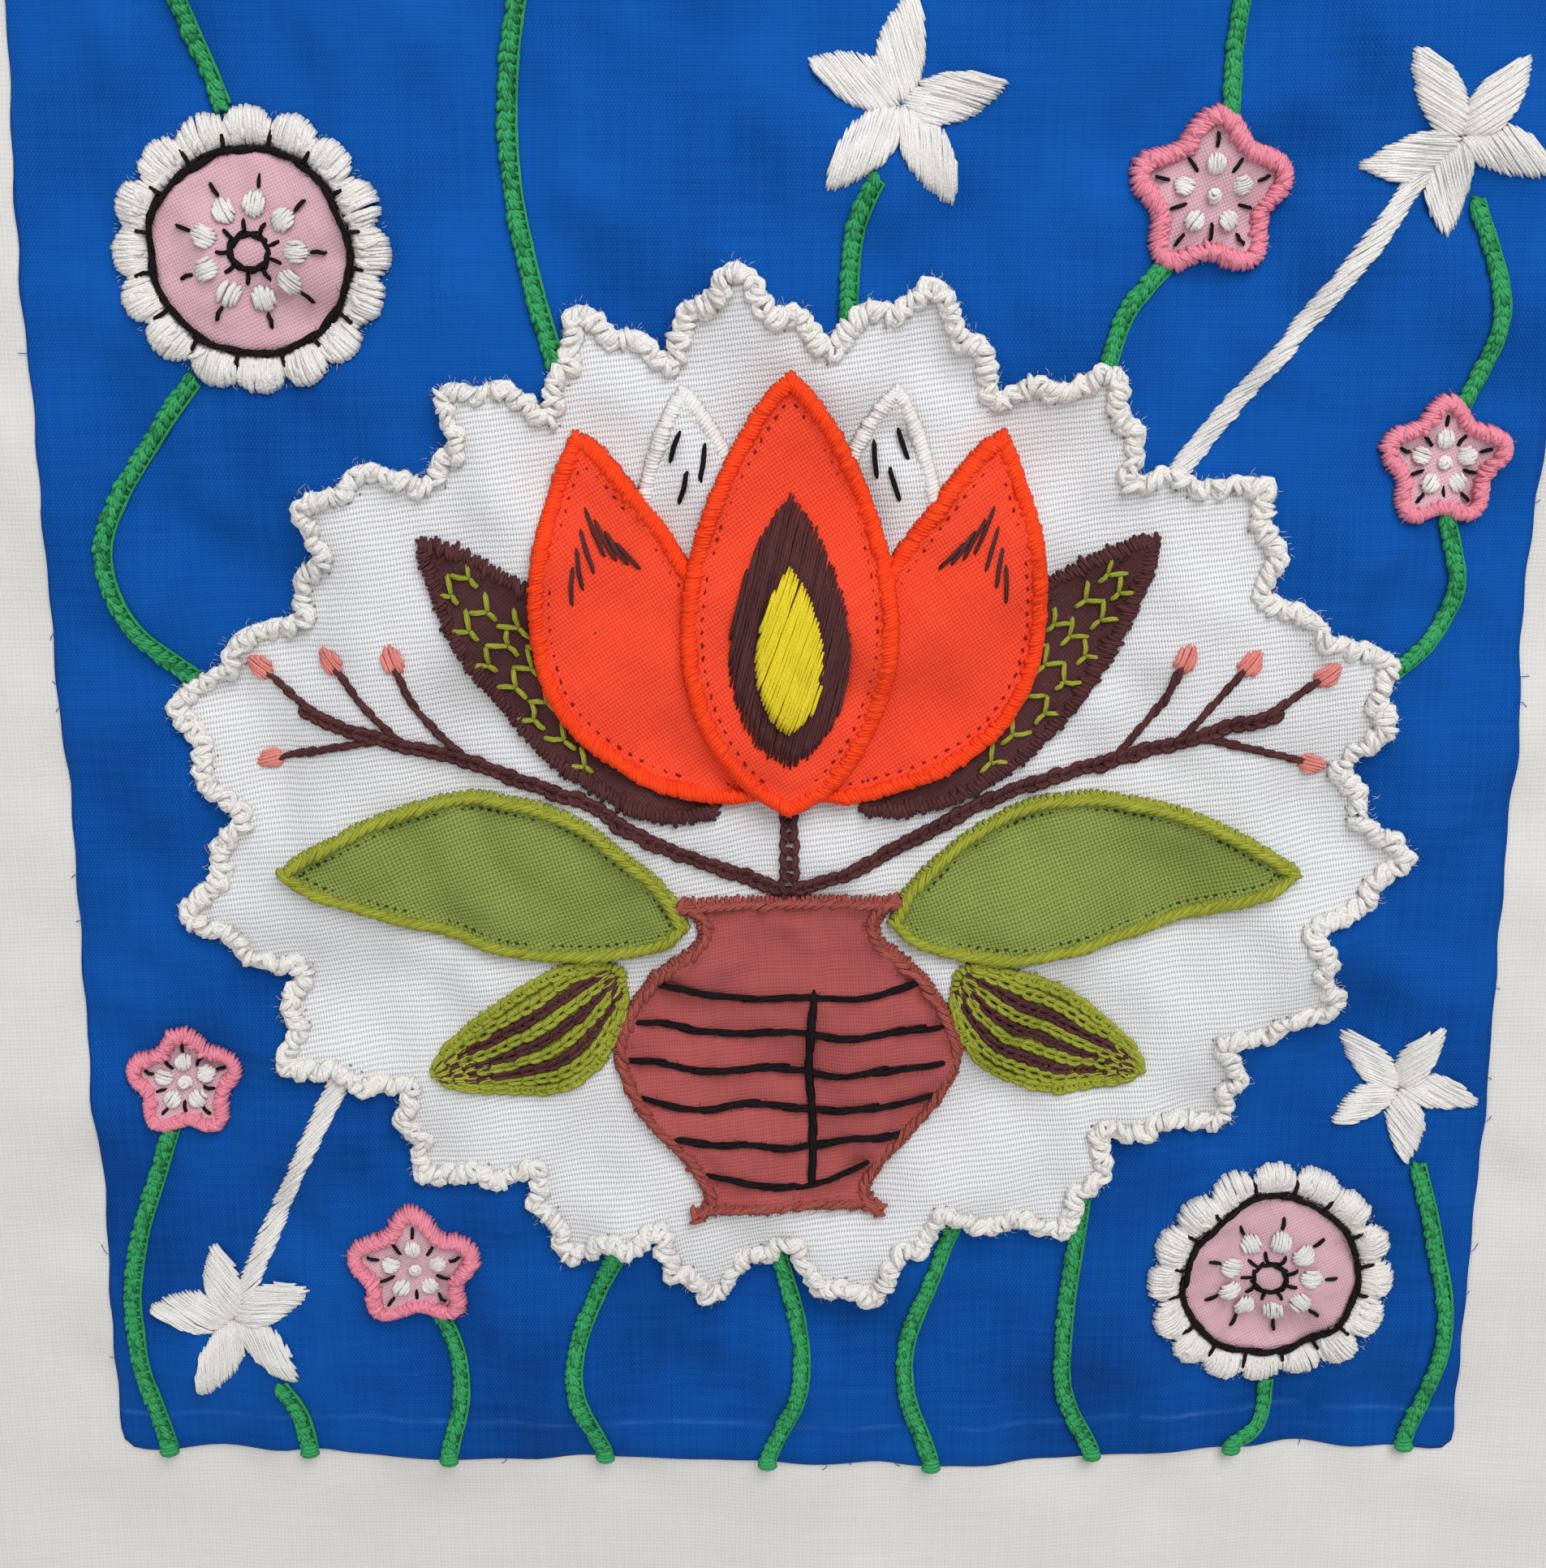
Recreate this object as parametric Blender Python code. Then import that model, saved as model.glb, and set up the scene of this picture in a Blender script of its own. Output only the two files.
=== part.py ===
"""An embroidered and appliquéd wall hanging, hung by its top edge.

Metres, +Z up. The cloth faces -Y. The origin is the middle of the top edge, on the back of the cloth.
Every cut piece is a sheet that follows the folds of the ground cloth, in layers set a little apart.
"""

import math

import bmesh
import bpy
from mathutils import Vector

MM = 0.001

# The two large cloths.
GROUND_WIDTH = 300 * MM
GROUND_HEIGHT = 400 * MM
HEM_WIDTH = 12 * MM
PANEL_HALF_WIDTH = 99.4 * MM
PANEL_TOP = -61 * MM
PANEL_BOTTOM = -345 * MM
PANEL_CORNER = 4 * MM
PANEL_WAVER = 0.45 * MM
PANEL_WAVER_LENGTH = 71 * MM

# The motif is drawn in millimetres round its own centre, u to the right and v up.
MOTIF_CENTRE_Z = -246 * MM

# Thickness of the layers, and how far apart they lie.
CLOTH = 1.0 * MM
STITCHING = 1.1 * MM
SATIN = 0.7 * MM
LAYER_GAP = 0.3 * MM
LAYER_STEP = CLOTH + LAYER_GAP
PANEL_BACK = LAYER_STEP
PATCH_BACK = PANEL_BACK + LAYER_STEP
FIRST_BACK = PATCH_BACK + LAYER_STEP
SECOND_BACK = FIRST_BACK + LAYER_STEP
THIRD_BACK = SECOND_BACK + LAYER_STEP
THROAT_BACK = THIRD_BACK + LAYER_STEP
HEART_BACK = THROAT_BACK + SATIN + LAYER_GAP

# The folds in which the cloth hangs: soft upright waves that grow towards the lower edge.
LATTICE = 20 * MM
FLAT_TOP = 20 * MM
FOLD_ROWS = (
    {"depth": 1.7 * MM, "length": 148 * MM, "lean": 0.16, "phase": 0.7},
    {"depth": 0.9 * MM, "length": 92 * MM, "lean": -0.28, "phase": 2.1},
    {"depth": 0.6 * MM, "length": 230 * MM, "lean": 1.9, "phase": 4.0},
)

# The lobed patch behind the vase of flowers, as a distance from the motif's centre.
PATCH_RADIUS = 73
PATCH_LOBES = (
    {"depth": 6.0, "count": 2, "phase": 0.0, "sway": 0.0},
    {"depth": 2.5, "count": 4, "phase": 0.0, "sway": 0.0},
    {"depth": 3.9, "count": 19, "phase": 0.8, "sway": 1.1},
    {"depth": 1.4, "count": 57, "phase": 1.9, "sway": 2.1},
)
PATCH_POINTS = 342
EDGING_WIDTH = 2.6
EDGING_INSET = 0.3

# The vase: half its width at each height, from the foot to the lip.
VASE_PROFILE = (
    {"v": -58.0, "half": 13.5},
    {"v": -55.5, "half": 11.5},
    {"v": -50.0, "half": 14.5},
    {"v": -41.5, "half": 21.5},
    {"v": -32.5, "half": 24.0},
    {"v": -23.5, "half": 19.5},
    {"v": -17.5, "half": 13.0},
    {"v": -14.5, "half": 12.3},
    {"v": -11.5, "half": 15.5},
)

# Leaves and petals on the patch, drawn for the right-hand side and mirrored for the left.
SIDE_LEAVES = (
    {"name": "olive_leaf", "base": (14, -15), "tip": (70, -8), "width": 22, "bow": 4.0, "colour": "olive"},
    {"name": "brown_leaf", "base": (10, 1), "tip": (49, 38), "width": 18, "bow": -1.0, "colour": "brown"},
    {"name": "striped_leaf", "base": (23, -22), "tip": (50, -37), "width": 16, "bow": -3, "colour": "olive"},
    {"name": "white_petal", "base": (10, 16), "tip": (14, 58), "width": 17, "bow": 0.0, "colour": "white"},
)
TULIP_SIDE = {"base": (2, 3), "tip": (28, 52), "width": 26, "bow": -7.0}
TULIP_MIDDLE = {"base": (0, 1), "tip": (0, 60), "width": 28, "bow": 0.0}
TULIP_THROAT = {"base": (0, 8), "tip": (0, 44), "width": 16, "bow": 0.0}
TULIP_HEART = {"base": (0, 13), "tip": (0, 35), "width": 9, "bow": 0.0}
TULIP_STALK = ((0, -10.8), (0, -0.2))
TWIG_LINE = ((3.2, -9.4), (13, -5.5), (27, 2.4), (43, 7.4), (66, 14.5))
TWIG_WIDTH = 2.6

# Flowers on the blue panel.
DAISIES = (
    {"name": "daisy_1", "u": -69, "v": 75},
    {"name": "daisy_2", "u": 70, "v": -70},
)
DAISY_DISC = 12.0
DAISY_RING_IN = 12.6
DAISY_RING_OUT = 18.0
DAISY_RING_WAVE = 0.9
DAISY_PETALS = 16

BLOSSOMS = (
    {"name": "blossom_1", "u": 54, "v": 82, "radius": 10.5},
    {"name": "blossom_2", "u": 86, "v": 48, "radius": 8.5},
    {"name": "blossom_3", "u": -54, "v": -68, "radius": 9.5},
    {"name": "blossom_4", "u": -86, "v": -40, "radius": 8.0},
    {"name": "blossom_5", "u": -26, "v": 138, "radius": 11.0},
    {"name": "blossom_6", "u": 78, "v": 154, "radius": 10.0},
)
BLOSSOM_LOBES = 5
BLOSSOM_DEPTH = 0.13

STARS = (
    {"name": "star_1", "u": 14, "v": 93, "radius": 13.5, "turn": 0.2},
    {"name": "star_2", "u": 85, "v": 89, "radius": 12.5, "turn": 0.9},
    {"name": "star_3", "u": -81, "v": -77, "radius": 13.0, "turn": 0.5},
    {"name": "star_4", "u": 87, "v": -41, "radius": 11.0, "turn": 1.1},
    {"name": "star_5", "u": -66, "v": 150, "radius": 14.0, "turn": 0.0},
    {"name": "star_6", "u": 26, "v": 160, "radius": 14.0, "turn": 0.7},
)
STAR_PETALS = 5
STAR_WAIST = 0.2

# Vines, each through a few points. They stop short of whatever they meet.
VINE_WIDTH = 3.0
VINE_MARGIN = 2.2
VINE_SHORTEST = 4.0
VINE_STEPS = 40
VINE_POINTS = 10
VINES = (
    {"name": "vine_1", "points": ((-92, -98), (-95.5, -72), (-86, -40))},
    {"name": "vine_2", "points": ((-71, -98), (-73, -89), (-81, -77))},
    {"name": "vine_3", "points": ((-50, -98), (-48, -85), (-54, -68))},
    {"name": "vine_4", "points": ((-27, -98), (-31, -82), (-23, -60))},
    {"name": "vine_5", "points": ((-3, -98), (2, -82), (-3, -60))},
    {"name": "vine_6", "points": ((21, -98), (17, -82), (24, -60))},
    {"name": "vine_7", "points": ((45, -98), (40, -84), (42, -56))},
    {"name": "vine_8", "points": ((66, -98), (71, -92), (70, -70))},
    {"name": "vine_9", "points": ((92, -98), (96, -76), (87, -41))},
    {"name": "vine_10", "points": ((-72, 8), (-91, 36), (-69, 75), (-77, 112), (-66, 150))},
    {"name": "vine_11", "points": ((-28, 50), (-36, 92), (-26, 138))},
    {"name": "vine_12", "points": ((8, 50), (8, 76), (14, 93), (16, 128), (26, 160))},
    {"name": "vine_13", "points": ((38, 44), (43, 66), (54, 82), (59, 118), (78, 154))},
    {"name": "vine_14", "points": ((66, 10), (88, 27), (86, 48), (92, 68), (85, 89))},
)

# Base colour and roughness of each cloth and thread.
FINISHES = {
    "ground": ((0.72, 0.70, 0.66), 0.9),
    "blue": ((0.012, 0.075, 0.37), 0.8),
    "white": ((0.76, 0.74, 0.71), 0.9),
    "white_thread": ((0.80, 0.78, 0.74), 0.75),
    "orange": ((0.88, 0.065, 0.01), 0.85),
    "olive": ((0.20, 0.23, 0.02), 0.85),
    "brown": ((0.045, 0.014, 0.016), 0.9),
    "brick": ((0.28, 0.05, 0.045), 0.85),
    "pink": ((0.66, 0.29, 0.31), 0.85),
    "green_thread": ((0.01, 0.21, 0.045), 0.7),
    "brown_thread": ((0.07, 0.02, 0.02), 0.8),
    "yellow_thread": ((0.72, 0.60, 0.01), 0.7),
}


def clear_scene():
    """Remove whatever the scene holds."""
    for thing in list(bpy.data.objects):
        bpy.data.objects.remove(thing, do_unlink=True)


def finish(name):
    """The material of this name, made once."""
    material = bpy.data.materials.get(name)
    if material is None:
        colour, roughness = FINISHES[name]
        material = bpy.data.materials.new(name)
        material.use_nodes = True
        shader = material.node_tree.nodes["Principled BSDF"]
        shader.inputs["Base Color"].default_value = (*colour, 1.0)
        shader.inputs["Roughness"].default_value = roughness
        shader.inputs["Metallic"].default_value = 0.0
    return material


def fold(x, z):
    """The y of the hung cloth's back: 0 along the top, and forward of that in the waves below."""
    drop = max(0.0, -z - FLAT_TOP) / (GROUND_HEIGHT - FLAT_TOP)
    growth = drop * drop * (3 - 2 * drop)
    forward = sum(
        row["depth"] * (1 - math.sin(2 * math.pi * (x + row["lean"] * z) / row["length"] + row["phase"]))
        for row in FOLD_ROWS
    )
    return -growth * forward


def lattice_fold(x, z):
    """The same y, straight between the points of a lattice, so that all layers stay parallel."""
    column, row = math.floor(x / LATTICE), math.floor(z / LATTICE)
    across, up = x / LATTICE - column, z / LATTICE - row

    def corner(right, above):
        return fold((column + right) * LATTICE, (row + above) * LATTICE)

    low, high = corner(1, 0), corner(0, 1)
    if across + up <= 1:
        near = corner(0, 0)
        return near + across * (low - near) + up * (high - near)
    far = corner(1, 1)
    return far + (1 - across) * (high - far) + (1 - up) * (low - far)


def cut_by_planes(bm, normal, spacing):
    """Cut the flat face in bm along every plane of this direction, spacing apart."""
    normal = Vector(normal)
    reach = [vert.co.dot(normal) for vert in bm.verts]
    first = math.ceil(min(reach) / spacing)
    last = math.floor(max(reach) / spacing)
    for index in range(first, last + 1):
        bmesh.ops.bisect_plane(
            bm,
            geom=bm.verts[:] + bm.edges[:] + bm.faces[:],
            dist=1e-7,
            plane_co=normal.normalized() * (index * spacing / normal.length),
            plane_no=normal.normalized(),
        )


def cut_at(bm, point, normal):
    """Cut the flat face in bm along one plane."""
    bmesh.ops.bisect_plane(
        bm, geom=bm.verts[:] + bm.edges[:] + bm.faces[:], dist=1e-7, plane_co=point, plane_no=normal
    )


def lay_on_folds(bm):
    """Cut a flat face along the lattice and set it on the folds."""
    cut_by_planes(bm, (1, 0, 0), LATTICE)
    cut_by_planes(bm, (0, 0, 1), LATTICE)
    cut_by_planes(bm, (1, 0, 1), LATTICE)
    for vert in bm.verts:
        vert.co.y = lattice_fold(vert.co.x, vert.co.z)


def thicken(bm, back, thickness):
    """Move a sheet forward by back, and give it its thickness towards the viewer."""
    bmesh.ops.translate(bm, vec=(0, -back, 0), verts=bm.verts[:])
    grown = bmesh.ops.extrude_face_region(bm, geom=bm.faces[:], use_keep_orig=True)
    moved = [part for part in grown["geom"] if isinstance(part, bmesh.types.BMVert)]
    bmesh.ops.translate(bm, vec=(0, -thickness, 0), verts=moved)
    bmesh.ops.recalc_face_normals(bm, faces=bm.faces[:])


def add_object(name, bm, colour):
    """Make the named object from bm."""
    mesh = bpy.data.meshes.new(name)
    bm.to_mesh(mesh)
    bm.free()
    mesh.materials.append(finish(colour))
    made = bpy.data.objects.new(name, mesh)
    bpy.context.scene.collection.objects.link(made)
    return made


def motif_loop(bm, outline):
    """The outline, in the motif's millimetres, as a closed loop of edges."""
    verts = [bm.verts.new((u * MM, 0.0, MOTIF_CENTRE_Z + v * MM)) for u, v in outline]
    return [bm.edges.new((verts[i - 1], vert)) for i, vert in enumerate(verts)]


def cut_piece(name, outline, colour, back, thickness, hole=None):
    """A piece cut to an outline, with a hole if one is given, lying on the folds."""
    bm = bmesh.new()
    edges = motif_loop(bm, outline)
    if hole is None:
        bmesh.ops.contextual_create(bm, geom=edges)
    else:
        edges += motif_loop(bm, hole)
        bmesh.ops.bridge_loops(bm, edges=edges)
    lay_on_folds(bm)
    thicken(bm, back, thickness)
    return add_object(name, bm, colour)


def ground_cloth():
    """The ground cloth, with its hem turned to the back on all four sides."""
    half = GROUND_WIDTH / 2
    corners = ((-half, -GROUND_HEIGHT), (half, -GROUND_HEIGHT), (half, 0.0), (-half, 0.0))
    bm = bmesh.new()
    bm.faces.new([bm.verts.new((x, 0.0, z)) for x, z in corners])
    for side in (-1, 1):
        cut_at(bm, (side * (half - HEM_WIDTH), 0, 0), (1, 0, 0))
    for height in (-HEM_WIDTH, HEM_WIDTH - GROUND_HEIGHT):
        cut_at(bm, (0, 0, height), (0, 0, 1))
    lay_on_folds(bm)
    thicken(bm, 0.0, CLOTH)
    hem = [face for face in bm.faces if face.normal.y > 0.5 and in_hem(face.calc_center_median())]
    grown = bmesh.ops.extrude_face_region(bm, geom=hem)
    moved = [part for part in grown["geom"] if isinstance(part, bmesh.types.BMVert)]
    bmesh.ops.delete(bm, geom=hem, context="FACES")
    bmesh.ops.translate(bm, vec=(0, CLOTH, 0), verts=moved)
    bmesh.ops.recalc_face_normals(bm, faces=bm.faces[:])
    return add_object("ground_cloth", bm, "ground")


def in_hem(point):
    """True for a point of the ground cloth that lies in its hem."""
    from_side = GROUND_WIDTH / 2 - abs(point.x)
    from_end = min(-point.z, GROUND_HEIGHT + point.z)
    return min(from_side, from_end) < HEM_WIDTH


def panel_outline():
    """The panel's outline: a tall rectangle with rounded corners, whose edges waver a little."""
    middle = (PANEL_TOP + PANEL_BOTTOM) / 2
    half_height = (PANEL_TOP - PANEL_BOTTOM) / 2
    outline = []
    for across, up, start in ((1, 1, 0), (-1, 1, 90), (-1, -1, 180), (1, -1, 270)):
        for step in range(4):
            angle = math.radians(start + 30 * step)
            x = across * (PANEL_HALF_WIDTH - PANEL_CORNER) + PANEL_CORNER * math.cos(angle)
            z = middle + up * (half_height - PANEL_CORNER) + PANEL_CORNER * math.sin(angle)
            outline.append(Vector((x, z)))
    wavering = []
    for index, start in enumerate(outline):
        end = outline[(index + 1) % len(outline)]
        pieces = max(1, round((end - start).length / (10 * MM)))
        wavering += [start + (end - start) * piece / pieces for piece in range(pieces)]
    return [waver(point, middle) for point in wavering]


def waver(point, middle):
    """The point, drawn in towards the panel's middle by a little more or less."""
    turns = 2 * math.pi * (point.x - 1.3 * point.y) / PANEL_WAVER_LENGTH
    inward = PANEL_WAVER * (1 + math.sin(turns)) / 2
    return point.x - math.copysign(inward, point.x), point.y - math.copysign(inward, point.y - middle)


def panel():
    """The blue panel, sewn on the ground cloth."""
    bm = bmesh.new()
    bm.faces.new([bm.verts.new((x, 0.0, z)) for x, z in panel_outline()])
    lay_on_folds(bm)
    thicken(bm, PANEL_BACK, CLOTH)
    return add_object("panel", bm, "blue")


def patch_radius(angle):
    """Distance of the patch's edge from the motif's centre, with lobes a little uneven in width."""
    uneven = math.sin(3 * angle + 0.5) + 0.6 * math.sin(5 * angle + 2.0)
    return PATCH_RADIUS + sum(
        row["depth"] * math.cos(row["count"] * angle + row["phase"] + row["sway"] * uneven)
        for row in PATCH_LOBES
    )


def patch_outline(inset):
    """The patch's edge, drawn in by an inset."""
    outline = []
    for index in range(PATCH_POINTS):
        angle = 2 * math.pi * index / PATCH_POINTS
        radius = patch_radius(angle) - inset
        outline.append((radius * math.cos(angle), radius * math.sin(angle)))
    return outline


def lobed_outline(u, v, radius, lobes, wave, turn=0.0, points=60):
    """A round outline with a wavy edge."""
    outline = []
    for index in range(points):
        angle = 2 * math.pi * index / points
        reach = radius + wave * math.cos(lobes * (angle - turn))
        outline.append((u + reach * math.cos(angle), v + reach * math.sin(angle)))
    return outline


def star_outline(row):
    """A flower of pointed petals, as one outline."""
    outline = []
    steps = STAR_PETALS * 8
    for index in range(steps):
        angle = 2 * math.pi * index / steps
        share = abs(math.cos(STAR_PETALS * (angle - row["turn"]) / 2)) ** 1.6
        reach = row["radius"] * (STAR_WAIST + (1 - STAR_WAIST) * share)
        outline.append((row["u"] + reach * math.cos(angle), row["v"] + reach * math.sin(angle)))
    return outline


def leaf_outline(base, tip, width, bow, steps=11):
    """A pointed leaf or petal from base to tip, bowed to its left by a positive bow."""
    start, end = Vector(base), Vector(tip)
    along = end - start
    left = Vector((-along.y, along.x)).normalized()
    edges = {1: [], -1: []}
    for index in range(steps + 1):
        share = index / steps
        spine = start + along * share + left * bow * math.sin(math.pi * share)
        half = width / 2 * math.sin(math.pi * share ** 0.82) ** 0.75 if 0 < index < steps else 0.0
        for side in edges:
            edges[side].append(spine + left * half * side)
    return [tuple(point) for point in edges[-1] + edges[1][-2:0:-1]]


def mirrored(outline):
    """The outline's mirror image across the motif's upright axis."""
    return [(-u, v) for u, v in reversed(outline)]


def smooth_line(points, steps):
    """A Catmull-Rom line through the points."""
    ends = [2 * Vector(points[0]) - Vector(points[1]), 2 * Vector(points[-1]) - Vector(points[-2])]
    knots = [ends[0], *map(Vector, points), ends[1]]
    line = []
    for a, b, c, d in zip(knots, knots[1:], knots[2:], knots[3:]):
        for step in range(steps):
            t = step / steps
            straight = 2 * b + (c - a) * t
            bent = (2 * a - 5 * b + 4 * c - d) * t**2 + (3 * b - a - 3 * c + d) * t**3
            line.append((straight + bent) / 2)
    line.append(Vector(points[-1]))
    return line


def ribbon_outline(line, width):
    """The outline of a stitched line of this width."""
    left, right = [], []
    for index, point in enumerate(line):
        along = line[min(index + 1, len(line) - 1)] - line[max(index - 1, 0)]
        across = Vector((-along.y, along.x)).normalized() * width / 2
        left.append(tuple(point + across))
        right.append(tuple(point - across))
    return right + left[::-1]


def vase():
    """The brick-red cloth vase."""
    right = smooth_line([(row["half"], row["v"]) for row in VASE_PROFILE], 3)
    outline = [tuple(point) for point in right] + [(-point.x, point.y) for point in reversed(right)]
    return cut_piece("vase", outline, "brick", FIRST_BACK, CLOTH)


def side_leaves():
    """The leaves and petals that come in pairs."""
    for row in SIDE_LEAVES:
        outline = leaf_outline(row["base"], row["tip"], row["width"], row["bow"])
        for side, shape in (("right", outline), ("left", mirrored(outline))):
            cut_piece(f"{row['name']}_{side}", shape, row["colour"], FIRST_BACK, CLOTH)


def tulip():
    """The tulip: three cloth petals, with a satin-stitched throat and heart, on a stalk."""
    outline = leaf_outline(**TULIP_SIDE)
    cut_piece("tulip_petal_right", outline, "orange", SECOND_BACK, CLOTH)
    cut_piece("tulip_petal_left", mirrored(outline), "orange", SECOND_BACK, CLOTH)
    cut_piece("tulip_petal_middle", leaf_outline(**TULIP_MIDDLE), "orange", THIRD_BACK, CLOTH)
    cut_piece("tulip_throat", leaf_outline(**TULIP_THROAT), "brown_thread", THROAT_BACK, SATIN)
    cut_piece("tulip_heart", leaf_outline(**TULIP_HEART), "yellow_thread", HEART_BACK, SATIN)
    stalk = ribbon_outline([Vector(point) for point in TULIP_STALK], VINE_WIDTH)
    cut_piece("tulip_stalk", stalk, "brown_thread", FIRST_BACK, STITCHING)


def twigs():
    """The two stitched twigs that reach out between the leaves."""
    outline = ribbon_outline(smooth_line(TWIG_LINE, 3), TWIG_WIDTH)
    cut_piece("twig_right", outline, "brown_thread", FIRST_BACK, STITCHING)
    cut_piece("twig_left", mirrored(outline), "brown_thread", FIRST_BACK, STITCHING)


def flowers():
    """The daisies, blossoms and star flowers on the blue panel."""
    for row in DAISIES:
        disc = lobed_outline(row["u"], row["v"], DAISY_DISC, DAISY_PETALS, 0.0, points=36)
        hole = lobed_outline(row["u"], row["v"], DAISY_RING_IN, DAISY_PETALS, 0.0, points=64)
        rim = lobed_outline(row["u"], row["v"], DAISY_RING_OUT, DAISY_PETALS, DAISY_RING_WAVE, points=64)
        cut_piece(f"{row['name']}_disc", disc, "pink", PATCH_BACK, CLOTH)
        cut_piece(f"{row['name']}_petals", rim, "white_thread", PATCH_BACK, STITCHING, hole=hole)
    for row in BLOSSOMS:
        wave = row["radius"] * BLOSSOM_DEPTH
        reach = row["radius"] - wave
        outline = lobed_outline(row["u"], row["v"], reach, BLOSSOM_LOBES, wave, turn=math.pi / 2, points=40)
        cut_piece(row["name"], outline, "pink", PATCH_BACK, CLOTH)
    for row in STARS:
        cut_piece(row["name"], star_outline(row), "white_thread", PATCH_BACK, STITCHING)


def blocked(point):
    """True where the patch or a flower leaves no room for a vine."""
    if point.length < patch_radius(math.atan2(point.y, point.x)) + VINE_MARGIN:
        return True
    round_things = [(row, DAISY_RING_OUT + DAISY_RING_WAVE) for row in DAISIES]
    round_things += [(row, row["radius"]) for row in BLOSSOMS]
    round_things += [(row, row["radius"] * 0.9) for row in STARS]
    return any(
        (point - Vector((row["u"], row["v"]))).length < reach + VINE_MARGIN for row, reach in round_things
    )


def open_stretches(line):
    """The stretches of a vine's line that are stitched, where nothing is in the way."""
    stretches, current = [], []
    for point in line:
        if blocked(point):
            stretches.append(current)
            current = []
        else:
            current.append(point)
    stretches.append(current)
    return [found for found in stretches if found and (found[-1] - found[0]).length > VINE_SHORTEST]


def vines():
    """The green chain-stitched vines, one object for each stretch that shows."""
    for row in VINES:
        stretches = open_stretches(smooth_line(row["points"], VINE_STEPS))
        for number, stretch in enumerate(stretches, start=1):
            last = len(stretch) - 1
            points = [stretch[round(last * index / VINE_POINTS)] for index in range(VINE_POINTS + 1)]
            outline = ribbon_outline(points, VINE_WIDTH)
            cut_piece(f"{row['name']}_{number}", outline, "green_thread", PATCH_BACK, STITCHING)


def patch():
    """The lobed patch, and the raised stitching along its edge."""
    cut_piece("patch", patch_outline(0.0), "white", PATCH_BACK, CLOTH)
    rim = patch_outline(EDGING_INSET)
    hole = patch_outline(EDGING_INSET + EDGING_WIDTH)
    cut_piece("patch_edging", rim, "white_thread", FIRST_BACK, STITCHING, hole=hole)


def main():
    """Build the hanging."""
    clear_scene()
    ground_cloth()
    panel()
    patch()
    vase()
    side_leaves()
    tulip()
    twigs()
    flowers()
    vines()


main()
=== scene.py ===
"""Dress the embroidered wall hanging: its cotton cloths, its sewn-on pieces and its hand stitching.

The picture is drawn in millimetres round its own centre, u to the right and v up. Every cloth and
every stitch is then laid on the folds of the hung cloth, in metres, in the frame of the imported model.
Lengths are in millimetres wherever a docstring names no other unit.
"""

from __future__ import annotations

import logging
import math
from collections.abc import Iterable, Sequence
from dataclasses import dataclass, field
from enum import Enum
from functools import cache

import bmesh
import bpy
import numpy as np
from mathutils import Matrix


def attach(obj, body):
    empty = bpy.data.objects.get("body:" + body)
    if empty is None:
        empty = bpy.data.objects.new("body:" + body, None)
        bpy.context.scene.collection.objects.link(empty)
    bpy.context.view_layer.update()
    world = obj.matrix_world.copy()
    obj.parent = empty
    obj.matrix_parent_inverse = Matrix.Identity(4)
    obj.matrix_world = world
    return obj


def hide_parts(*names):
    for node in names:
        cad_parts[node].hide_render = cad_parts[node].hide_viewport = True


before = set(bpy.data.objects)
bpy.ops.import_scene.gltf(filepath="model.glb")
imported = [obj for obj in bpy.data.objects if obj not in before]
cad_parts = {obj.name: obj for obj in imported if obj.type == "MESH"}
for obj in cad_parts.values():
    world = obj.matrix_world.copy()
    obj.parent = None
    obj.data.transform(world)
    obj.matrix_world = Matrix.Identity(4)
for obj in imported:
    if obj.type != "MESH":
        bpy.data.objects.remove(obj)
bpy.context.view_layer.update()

LOG = logging.getLogger("wall_hanging")
MM = 0.001
MOTIF_Z = -246.0
Line = np.ndarray
Point = Sequence[float]
Points = tuple[tuple[float, float], ...]
Colour = tuple[float, float, float]
Socket = bpy.types.NodeSocket


class Front(Enum):
    """How far each layer's face lies before the back of the ground cloth, in millimetres."""

    GROUND = 0.8
    PANEL = 1.5
    PATCH = 2.2
    FIRST = 3.0
    SECOND = 4.1
    THIRD = 5.2


class Side(Enum):
    """The two halves of the picture on the patch."""

    RIGHT = 1
    LEFT = -1


# Folds and puckers.


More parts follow.
